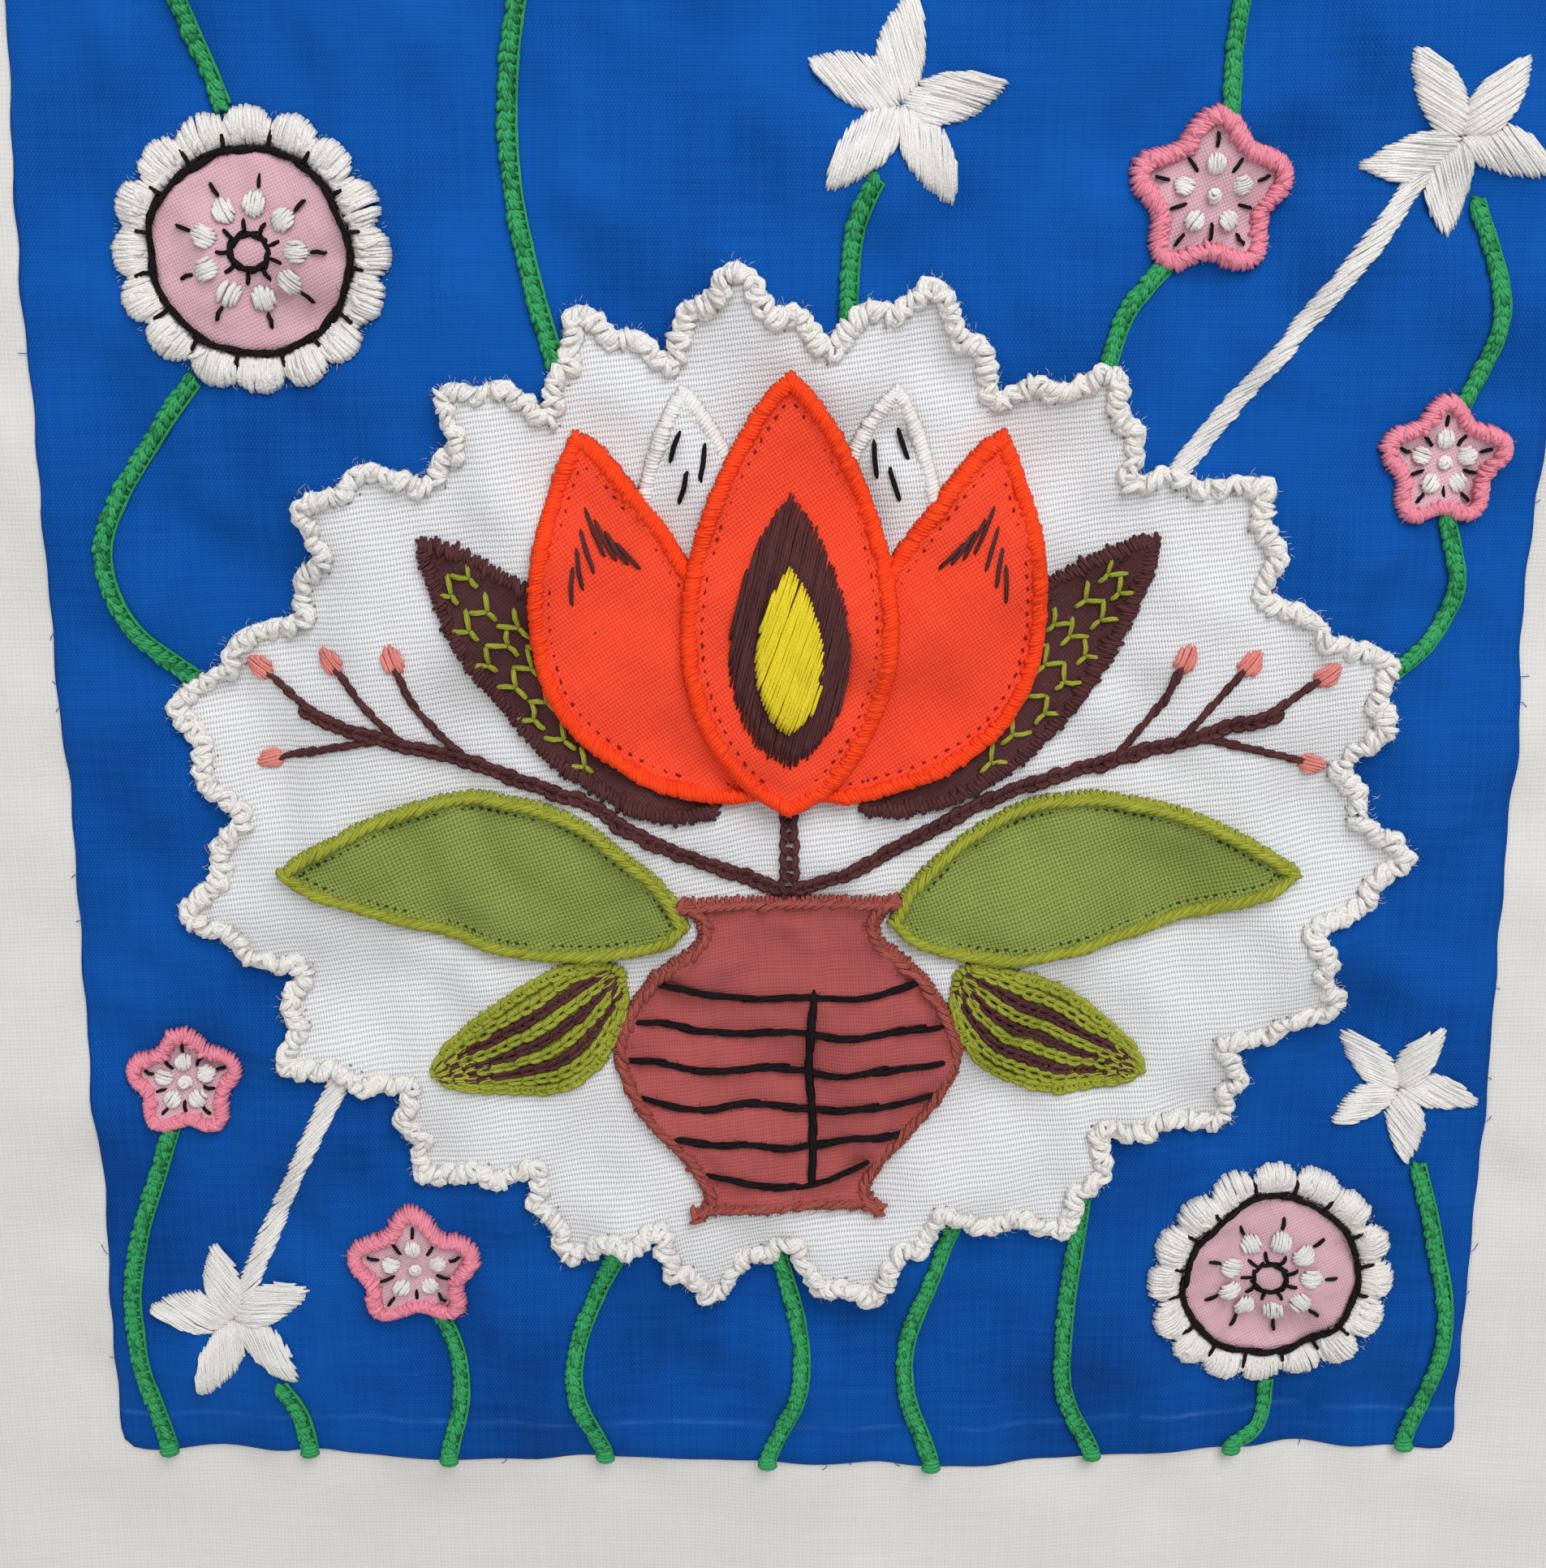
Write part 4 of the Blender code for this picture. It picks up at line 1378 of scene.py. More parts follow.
@dataclass
class LobedPatch:
    """The white patch with its uneven lobes and the thick corded stitching round them."""

    radius: float = 73.0
    lobes: tuple[tuple[float, int, float, float], ...] = (
        (6.0, 2, 0.0, 0.0), (2.5, 4, 0.0, 0.0), (3.9, 19, 0.8, 1.1), (1.4, 57, 1.9, 2.1),
    )

    def reach(self, angle: np.ndarray) -> np.ndarray:
        """Give the distance of the patch's edge from the picture's centre.

        Args:
            angle: Directions, in radians.

        Returns:
            The distances.
        """
        uneven = np.sin(3 * angle + 0.5) + 0.6 * np.sin(5 * angle + 2.0)
        return self.radius + sum(
            depth * np.cos(count * angle + phase + sway * uneven) for depth, count, phase, sway in self.lobes
        )

    def outline(self, inset: float, points: int = 684) -> Line:
        """Draw the patch's edge.

        Args:
            inset: How far to draw it in.
            points: How many points to take.

        Returns:
            The closed outline, anticlockwise.
        """
        angle = np.arange(points) * 2 * np.pi / points
        reach = self.reach(angle) - inset
        return np.column_stack((reach * np.cos(angle), reach * np.sin(angle)))

    def build(self) -> None:
        """Build the patch and its corded edge."""
        ClothPiece(
            "patch_sheet", self.outline(0.4, 342), Front.PATCH, WHITE_COTTON, ("patch",), ("panel_sheet",),
            pitch=1.8, roll=0.3, roll_width=2.6,
        ).build()
        cord = ThreadWork("patch_cord", CREAM_THREAD, ("patch_edging",), seed=3)
        front = Front.PATCH.value
        cord.core(closed(self.outline(1.1)), front - 0.3, 1.1, 0.16)
        swinging = closed(self.outline(1.4))
        for lift, radius, swing, phase in ((0.45, 0.74, 0.98, 0.0), (0.40, 0.66, 0.92, 3.1)):
            cord.meander(swinging, front + lift, radius, swing, 3.6, phase, 0.22)
        cord.dabs(closed(self.outline(1.45)), front + 1.05, 1.25, 0.46, 1.2)
        cord.build()
        fuzz = ThreadWork("patch_fuzz", CREAM_THREAD, sides=3, seed=4)
        fuzz.fuzz(closed(self.outline(0.0)), front - 0.1, 1.0, 3.2)
        fuzz.build()
        # Painted shade: short dark stitches for the needle holes inside the edge.
        pricks = ThreadWork("patch_pricks", WHITE_SHADE, sides=4, seed=6)
        pricks.running(closed(self.outline(3.1)), front - 0.16, 0.15, 0.3, 1.6)
        pricks.build()


PATCH = LobedPatch()


@dataclass
class Vase:
    """The brick-red cloth vase with its black stitched bands."""

    profile: Points = (
        (13.5, -58.0), (11.5, -55.5), (14.5, -50.0), (21.5, -41.5), (24.0, -32.5),
        (19.5, -23.5), (13.0, -17.5), (12.3, -14.5), (15.5, -11.5),
    )
    bands: tuple[float, ...] = (-52.0, -46.0, -40.5, -35.0, -29.5, -24.0)
    band_radius: float = 0.50
    band_inset: float = 2.6
    upright_u: float = 3.2
    upright: tuple[float, float] = (-53.5, -26.0)

    def build(self) -> None:
        """Build the vase, its edge and its bands."""
        right = smooth_line(self.profile, 8)
        outline = np.vstack((right, right[::-1] * (-1.0, 1.0)))
        ClothPiece(
            "vase_cloth", outline, Front.FIRST, BRICK_COTTON, ("vase",), ("patch_sheet",), crinkled=2.6
        ).build()
        front = Front.FIRST.value
        edge = ThreadWork("vase_edge", RUST_THREAD, seed=21)
        edge.over_edge(outline, front, 1.4, 0.15, 0.2, 0.7, pitch=0.62, radius=0.34, uneven=0.22)
        corded = shifted(closed(outline), 0.75)
        edge.core(corded, front, 0.65, 0.16)
        edge.rope(corded, front + 0.3, 0.42, 1.2, 0.55, uneven=0.14)
        edge.build()
        fuzz = ThreadWork("vase_fuzz", RUST_THREAD, sides=3, seed=23)
        fuzz.fuzz(corded, front + 0.3, 1.2, 3.0)
        fuzz.build()
        bands = ThreadWork("vase_bands", BLACK_THREAD, sides=6, seed=22)
        hairs = ThreadWork("vase_band_hairs", BLACK_THREAD, sides=3, seed=24)
        for height in self.bands:
            half = float(np.interp(height, right[:, 1], right[:, 0])) - self.band_inset
            across = np.linspace(-half, half, 40)
            sag = 2.0 * (1 - (across / half) ** 2)
            line = np.column_stack((across, height - sag + 0.3 * np.sin(across / 2.6 + height)))
            bands.rope(line, front, self.band_radius, 2.9, 0.14, uneven=0.1)
            hairs.fuzz(line, front + 0.4, 0.8, 1.6)
        waver = self.upright_u + 0.3 * np.sin(np.arange(30) / 4)
        upright = np.column_stack((waver, np.linspace(*self.upright, 30)))
        bands.rope(upright, front, self.band_radius * 1.1, 2.4, 0.14, lift=0.15)
        hairs.fuzz(upright, front + 0.6, 0.8, 1.6)
        bands.build()
        hairs.build()


@dataclass
class Leaves:
    """The leaves that come in pairs: olive cloth, brown cloth and close chain stitch."""

    olive: Leaf = Leaf((14, -15), (70, -8), 22, 4.0)
    brown: Leaf = Leaf((10, 1), (49, 38), 18, -1.0)
    striped: Leaf = Leaf((23, -22), (50, -37), 16, -3.0)
    striped_rows: int = 9
    dark_rows: tuple[int, ...] = (2, 4, 6)

    def build(self) -> None:
        """Build the leaves of both sides."""
        edges = {
            "olive": ThreadWork("olive_leaf_edges", OLIVE_THREAD, seed=31),
            "brown": ThreadWork("brown_leaf_edges", BROWN_THREAD, seed=32),
        }
        flies = ThreadWork("brown_leaf_flies", OLIVE_THREAD, seed=33)
        # Painted shade: dark stitches for the needle holes inside the olive edge.
        pricks = ThreadWork("olive_leaf_pricks", OLIVE_SHADE, sides=4, seed=34)
        front = Front.FIRST.value
        kinds = (("olive", self.olive, OLIVE_COTTON), ("brown", self.brown, BROWN_COTTON))
        for side in Side:
            outlines = {}
            for kind, leaf, cotton in kinds:
                node = f"{kind}_leaf_{side.name.lower()}"
                outlines[kind] = mirrored(leaf.outline(), side)
                cloth = ClothPiece(
                    f"{node}_cloth", outlines[kind], Front.FIRST, cotton, (node,), ("patch_sheet",)
                )
                cloth.build()
            olive, brown = outlines.values()
            edges["olive"].over_edge(
                olive, front, 1.4, 0.1, 0.2, 0.7, pitch=0.85, radius=0.5, slant=0.5, uneven=0.1
            )
            knotted = shifted(closed(olive), 0.75)
            edges["olive"].core(knotted, front + 0.05, 0.75, 0.14)
            edges["olive"].rope(knotted, front + 0.35, 0.52, 1.35, 0.6, uneven=0.08)
            # Painted shade in the needle holes.
            pricks.running(shifted(closed(olive), 2.1), front - 0.16, 0.17, 0.35, 0.9)
            edges["brown"].over_edge(
                brown, front, 1.5, 0.25, 0.55, 0.7, pitch=0.62, radius=0.36, slant=0.3, uneven=0.3
            )
            self.fly_stitches(flies, side)
            self.striped_leaf(side)
        for work in (*edges.values(), flies, pricks):
            work.build()

    def fly_stitches(self, work: ThreadWork, side: Side) -> None:
        """Scatter open V-shaped stitches over a brown leaf.

        Args:
            work: The thread to work with.
            side: Which leaf.
        """
        way = self.brown.run() / np.linalg.norm(self.brown.run())
        left = self.brown.left()
        front = Front.FIRST.value
        for row, share in enumerate(np.arange(0.32, 0.88, 0.088)):
            half = self.brown.half(share) - 2.6
            middle = self.brown.spine(share)[0]
            for offset in np.arange(-half + 1.0 * (row % 2), half, 3.3):
                if offset > half * 0.75 and share < 0.62:
                    continue
                place = middle + left * offset + work.rng.normal(0.0, 0.25, 2)
                foot = place - way * work.rng.uniform(1.3, 2.1)
                arms = [place + way * work.rng.uniform(1.7, 2.4) + left * 1.75 * sign for sign in (-1, 1)]
                for first, last in ((arms[0], place), (arms[1], place), (place, foot)):
                    work.straight(first * (side.value, 1), last * (side.value, 1), front, 0.36)

    def striped_leaf(self, side: Side) -> None:
        """Fill a leaf with rows of chain stitch, with darker rows among them.

        Args:
            side: Which leaf.
        """
        node = f"striped_leaf_{side.name.lower()}"
        front = Front.PATCH.value
        outline = mirrored(self.striped.outline(), side)
        green = ThreadWork(f"{node}_rows", OLIVE_THREAD, (node,), seed=35)
        brown = ThreadWork(f"{node}_stripes", BROWN_THREAD, seed=36)
        share = np.linspace(0.0, 1.0, 60)
        spine, half = self.striped.spine(share), self.striped.half(share)
        across, up = self.striped.run()
        heading = math.degrees(math.atan2(up, across * side.value))
        green.satin(outline, heading + 90.0, front - 0.05, rise=0.1, pitch=0.5, radius=0.34)
        for number, row in enumerate(np.linspace(-0.93, 0.93, self.striped_rows)):
            line = (spine + self.striped.left() * (half * row)[:, None])[3:-2]
            work = brown if number in self.dark_rows else green
            work.chain(mirrored(line, side), front + 0.35, 1.9, 0.42, 1.9, uneven=0.12)
        green.over_edge(outline, front + 0.3, 0.9, 0.15, 0.5, 0.4, pitch=0.8, radius=0.34, uneven=0.2)
        green.build()
        brown.build()


@dataclass
class Tulip:
    """The orange cloth tulip, its white inner petals, and its satin-stitched throat and heart."""

    side: Leaf = Leaf((2, 3), (28, 52), 26, -7.0)
    middle: Leaf = Leaf((0, 1), (0, 60), 28)
    white: Leaf = Leaf((10, 16), (14, 58), 17)
    throat: Leaf = Leaf((0, 8), (0, 44), 16)
    heart: Leaf = Leaf((0, 13), (0, 35), 9)
    stalk: Points = ((0, -12.5), (0, -6), (0, 3))
    white_lines: tuple = (((14.5, 43), (13.2, 47.5)), ((11.5, 46), (11.0, 51)), ((15.6, 48.5), (14.2, 52.5)))

    def build(self) -> None:
        """Build the petals, the throat, the heart and the stalk."""
        orange = ThreadWork("tulip_edges", ORANGE_THREAD, seed=41)
        white = ThreadWork("white_petal_edges", WHITE_THREAD, seed=42)
        black = ThreadWork("white_petal_lines", BLACK_THREAD, seed=43)
        # Painted shade: dark stitches for the needle holes inside the petals' edges.
        pricks = ThreadWork("tulip_pricks", PRICK_SHADE, sides=4, seed=44)
        dark = ThreadWork("tulip_veins", BROWN_THREAD, seed=45)
        front = Front.FIRST.value
        for side in Side:
            label = side.name.lower()
            inner, node = mirrored(self.white.outline(), side), f"white_petal_{label}"
            ClothPiece(f"{node}_cloth", inner, Front.FIRST, WHITE_COTTON, (node,), ("patch_sheet",)).build()
            white.over_edge(inner, front, 1.5, 0.15, 0.35, 0.6, pitch=0.52, radius=0.44, uneven=0.1)
            for low, high in self.white_lines:
                black.straight(*(np.multiply(end, (side.value, 1)) for end in (low, high)), front, 0.36)
            petal = mirrored(self.side.outline(), side)
            self.petal(petal, f"tulip_petal_{label}", Front.SECOND, orange, pricks)
            self.veins(dark, side)
        self.petal(self.middle.outline(), "tulip_petal_middle", Front.THIRD, orange, pricks)
        for work in (orange, white, black, pricks, dark):
            work.build()
        throat = ThreadWork("tulip_throat_satin", BROWN_THREAD, ("tulip_throat",), seed=46)
        throat.satin(self.throat.outline(), 76.0, Front.THIRD.value + 0.2, 0.7, 0.40, tooth=0.6)
        heart = ThreadWork("tulip_heart_satin", YELLOW_THREAD, ("tulip_heart",), seed=47)
        heart.satin(self.heart.outline(), 70.0, Front.THIRD.value + 1.5, 0.75, 0.42, tooth=0.25)
        stalk = ThreadWork("tulip_stalk_chain", BROWN_THREAD, ("tulip_stalk",), seed=48)
        stalk.chain(smooth_line(self.stalk, 10), Front.PATCH.value, 3.0, 0.55, 1.9)
        for work in (throat, heart, stalk):
            work.build()

    def petal(self, outline: Line, node: str, front: Front, edge: ThreadWork, pricks: ThreadWork) -> None:
        """Build one orange petal with its overcast edge and, inside it, the row of needle pricks painted as
        dark stitches of shade.

        Args:
            outline: The petal's outline.
            node: The solid that it stands for.
            front: Its layer.
            edge: The thread that overcasts it.
            pricks: The dark thread that paints the shade in the pricks.
        """
        if front is Front.SECOND:
            below, rests = Front.PATCH, ("patch_sheet",)
        else:
            below, rests = Front.SECOND, ("tulip_petal_left_cloth", "tulip_petal_right_cloth")
        ClothPiece(f"{node}_cloth", outline, front, ORANGE_COTTON, (node,), rests).build()
        drop = front.value - below.value - 0.3
        edge.over_edge(
            outline, front.value, 1.7, 0.15, 0.45, drop, pitch=0.5, radius=0.43, slant=0.35, uneven=0.13
        )
        line = shifted(closed(outline), 2.5)
        keep = from_edge(line, outline) > 2.3
        pricks.running(line[keep], front.value - 0.24, 0.17, 0.5, 1.25)

    def veins(self, work: ThreadWork, side: Side) -> None:
        """Fan a few dark stitches below the tip of a side petal.

        Args:
            work: The thread to work with.
            side: Which petal.
        """
        way = self.side.run() / np.linalg.norm(self.side.run())
        left = self.side.left()
        for number in range(-3, 4):
            spine = self.side.spine(0.84 - 0.035 * abs(number))[0]
            top = spine + left * number * 1.05
            foot = spine + left * number * 1.7 - way * (6.8 - 0.7 * abs(number)) - left * 0.7
            work.straight(top * (side.value, 1), foot * (side.value, 1), Front.SECOND.value, 0.3)


@dataclass
class Twigs:
    """The brown stitched twigs with forked ends and coral buds."""

    line: Points = ((0.9, -10.4), (13, -5.5), (27, 2.4), (43, 7.4), (66, 14.5))
    forks: tuple[Points, ...] = (
        ((52, 10.0), (57, 15.5), (61, 20.5)),
        ((44, 7.6), (50, 15.0), (52.5, 21.0)),
        ((55, 11.0), (62, 9.8), (70, 7.6)),
        ((63, 13.6), (67, 16.4), (71, 19.4)),
    )

    def build(self) -> None:
        """Build both twigs and their buds."""
        for side in Side:
            label = side.name.lower()
            wood = ThreadWork(f"twig_{label}_stitches", BROWN_THREAD, (f"twig_{label}",), seed=51)
            buds = ThreadWork(f"twig_{label}_buds", CORAL_THREAD, seed=52)
            front = Front.PATCH.value
            main = mirrored(smooth_line(self.line, 12), side)
            wood.core(main, front, 0.6, 0.12)
            wood.chain(main, front, 2.4, 0.5, 1.6, uneven=0.1)
            for fork in self.forks:
                line = mirrored(smooth_line(fork, 8), side)
                wood.rope(line, front, 0.42, 1.8, 0.35)
                before, tip = np.array(fork[-2:], dtype=float)
                way = (tip - before) / np.linalg.norm(tip - before)
                bud = mirrored(Leaf(tip - way * 0.9, tip + way * 3.4, 2.9).outline(), side)
                heading = math.degrees(math.atan2(way[1], way[0] * side.value))
                buds.satin(bud, heading, front, rise=0.55, pitch=0.45, tooth=0.2)
            wood.build()
            buds.build()


@dataclass
class Daisy:
    """A pink cloth disc in a ring of bundled white stitches, outlined in black."""

    name: str
    centre: tuple[float, float]
    disc: float = 12.0
    ring: float = 18.0
    petals: int = 16
    spots: int = 9

    def at(self, radius: float, angle: float) -> np.ndarray:
        """Give a place round the middle, from its distance and direction."""
        return np.array(self.centre) + radius * heading_way(angle)

    def ring_at(self, radius: float, **shape: float) -> Line:
        """Draw a closed ring round the middle."""
        return closed(round_outline(self.centre, radius, **shape))

    def build(self) -> None:
        """Build the disc, the petals, the outlines and the knots."""
        seed = 60 + len(self.name) + round(abs(self.centre[0]))
        front = Front.PATCH.value
        ClothPiece(
            f"{self.name}_cloth", round_outline(self.centre, self.disc + 1.0), Front.PATCH, PINK_COTTON,
            (f"{self.name}_disc",), ("panel_sheet",), roll=0.1, crinkled=2.2,
        ).build()
        white = ThreadWork(f"{self.name}_bundles", CREAM_THREAD, (f"{self.name}_petals",), seed=seed)
        black = ThreadWork(f"{self.name}_outlines", BLACK_THREAD, seed=seed + 1)
        fuzz = ThreadWork(f"{self.name}_fuzz", CREAM_THREAD, sides=3, seed=seed + 2)
        self.bundle_petals(white, black)
        base = Front.PANEL.value
        white.core(self.ring_at(self.disc + 2.4), base + 0.1, 1.3, 0.1)
        white.core(self.ring_at(self.ring - 3.0), base + 0.1, 0.9, 0.16)
        fuzz.fuzz(self.ring_at(self.ring - 0.8), front - 0.3, 0.7, 2.2)
        outline = self.ring_at(self.disc + 0.75, lobes=9, wave=0.12)
        black.rope(outline, front + 0.1, 0.42, 2.1, 0.18, lift=0.15, uneven=0.14)
        hairs = ThreadWork(f"{self.name}_hairs", BLACK_THREAD, sides=3, seed=seed + 3)
        hairs.fuzz(outline, front + 0.4, 0.7, 2.0)
        hairs.build()
        for number in range(self.spots):
            angle = number * 2 * math.pi / self.spots
            spot = self.at(6.0, angle + white.rng.normal(0.0, 0.03))
            seed_spot = round_outline(spot, 1.5, 2, 0.2, angle, 20)
            white.satin(seed_spot, math.degrees(angle), front, rise=0.75, pitch=0.44, radius=0.3, tooth=0.15)
            for start, stop, turned in ((2.4, 4.2, 0.35), (7.9, 9.9, 0.0)):
                black.straight(self.at(start, angle + turned), self.at(stop, angle + turned), front, 0.3)
        black.rope(self.ring_at(2.2, points=40), front, 0.36, 1.5, 0.15)
        for work in (white, black, fuzz):
            work.build()

    def bundle_petals(self, white: ThreadWork, black: ThreadWork) -> None:
        """Bundle white threads into petals, with a short black stitch between each two.

        Args:
            white: The thread of the petals.
            black: The thread of the outlines.
        """
        step = 2 * math.pi / self.petals
        base = Front.PANEL.value
        along = np.array((0.0, 0.12, 0.5, 0.86, 1.0))
        for number in range(self.petals):
            middle = (number + white.rng.normal(0.0, 0.05)) * step
            plump = white.rng.uniform(0.85, 1.15)
            for thread in range(-6, 7):
                share = thread / 6.5
                angle = middle + share * step * 0.53 + white.rng.normal(0.0, 0.006)
                start = self.disc + 0.9 + 0.5 * share * share + white.rng.normal(0.0, 0.08)
                stop = self.ring - 0.1 - 1.9 * abs(share) ** 3 + white.rng.normal(0.0, 0.07)
                rise = 1.25 * plump * (1.0 - 0.75 * share * share)
                thick = 0.38 * white.rng.uniform(0.85, 1.15)
                inner, outer = self.at(start, angle), self.at(stop, angle - share * 0.018)
                path = inner + np.outer(along, outer - inner) + white.rng.normal(0.0, 0.06, (5, 2))
                arch = np.array((-0.4, 0.6, 1.0, 0.95, -0.3)) * thick + rise * np.sin(np.pi * along**1.2)
                white.length(path, base + 0.35 + arch, thick * np.array((0.6, 0.95, 1.05, 1.15, 0.95)))
            for _ in range(4):
                angle = middle + white.rng.uniform(-0.3, 0.3) * step
                start, tilt = self.disc + white.rng.uniform(1.6, 3.2), white.rng.normal(0.0, 0.05)
                path = self.at(start, angle), self.at(start + white.rng.uniform(1.6, 2.4), angle + tilt)
                white.straight(*path, base + 1.25, 0.34, rise=0.35)
            gap = middle + step / 2 + black.rng.normal(0.0, 0.02)
            reach = self.disc + black.rng.uniform(2.6, 3.7)
            black.straight(self.at(self.disc + 0.6, gap), self.at(reach, gap), base + 1.15, 0.30, rise=0.1)


@dataclass
class Blossom:
    """A small five-lobed flower of pink cloth with a rose edge and a knotted middle."""

    name: str
    centre: tuple[float, float]
    radius: float
    depth: float = 0.13
    lobes: int = 5
    edge_share: float = 0.18

    def build(self) -> None:
        """Build the cloth, its edge and its middle."""
        wave = self.radius * self.depth
        outline = round_outline(self.centre, self.radius - wave, self.lobes, wave, math.pi / 2, 80)
        seed = 80 + round(abs(self.centre[0]))
        ClothPiece(
            f"{self.name}_cloth", outline, Front.PATCH, PINK_COTTON, (self.name,), ("panel_sheet",), roll=0.3,
            crinkled=1.6,
        ).build()
        edge = ThreadWork(f"{self.name}_edge", ROSE_THREAD, seed=seed)
        front = Front.PATCH.value
        inner = self.edge_share * self.radius
        corded = shifted(closed(outline), 0.85)
        edge.core(corded, front + 0.1, 0.72, 0.12)
        edge.over_edge(
            outline, front, inner, 0.25, 0.95, 0.6, pitch=0.56, radius=0.42, slant=0.45, uneven=0.16
        )
        edge.dabs(corded, front + 0.95, 0.7, 0.34, 1.5)
        edge.fuzz(closed(outline), front + 0.1, 0.9, 0.8)
        edge.build()
        middle = np.array(self.centre)
        white = ThreadWork(f"{self.name}_knots", CREAM_THREAD, seed=seed + 1)
        black = ThreadWork(f"{self.name}_rays", BLACK_THREAD, seed=seed + 2)
        ring = self.radius * 0.36
        for number in range(self.lobes):
            angle = math.pi / 2 + number * 2 * math.pi / self.lobes
            way, between = heading_way(angle), heading_way(angle + math.pi / self.lobes)
            seed_spot = round_outline(middle + way * (ring + 0.1), 1.2, 2, 0.15, angle, 20)
            white.satin(seed_spot, math.degrees(angle), front, rise=0.65, pitch=0.36, radius=0.28, tooth=0.1)
            for ray, start, stop in ((way, 1.55, 2.05), (between, 0.9, 1.5)):
                black.straight(middle + ray * ring * start, middle + ray * ring * stop, front, 0.27)
        white.knot(middle, front, 2.5, 0.42)
        white.build()
        black.build()


@dataclass
class StarFlower:
    """A white flower of five pointed petals, each filled with slanting satin stitch."""

    name: str
    centre: tuple[float, float]
    radius: float
    turn: float
    petals: int = 5
    plump: float = 0.45
    lean: float = 24.0

    def build(self) -> None:
        """Build the petals."""
        seed = 100 + round(abs(self.centre[0]) + abs(self.centre[1]))
        work = ThreadWork(f"{self.name}_satin", WHITE_THREAD, (self.name,), seed=seed)
        for number, outline in enumerate(self.outlines()):
            angle = math.degrees(self.turn) + number * 360.0 / self.petals
            lean = (self.lean if number % 2 else -self.lean) + work.rng.uniform(-5.0, 5.0)
            work.satin(outline, angle + lean, Front.PANEL.value + 0.1, rise=0.75, pitch=0.36, radius=0.32)
        work.build()

    def outlines(self) -> list[Line]:
        """Draw the petals, no two quite the same.

        Returns:
            Their outlines.
        """
        rng = np.random.default_rng(round(abs(self.centre[0] * 3) + abs(self.centre[1])))
        middle = np.array(self.centre)
        found = []
        for number in range(self.petals):
            angle = self.turn + number * 2 * math.pi / self.petals
            way = heading_way(angle)
            tip = middle + way * self.radius * rng.uniform(0.93, 1.04)
            bow = rng.uniform(-0.9, 0.9)
            found.append(Leaf(middle + way * 0.2, tip, self.radius * self.plump, bow).outline())
        return found


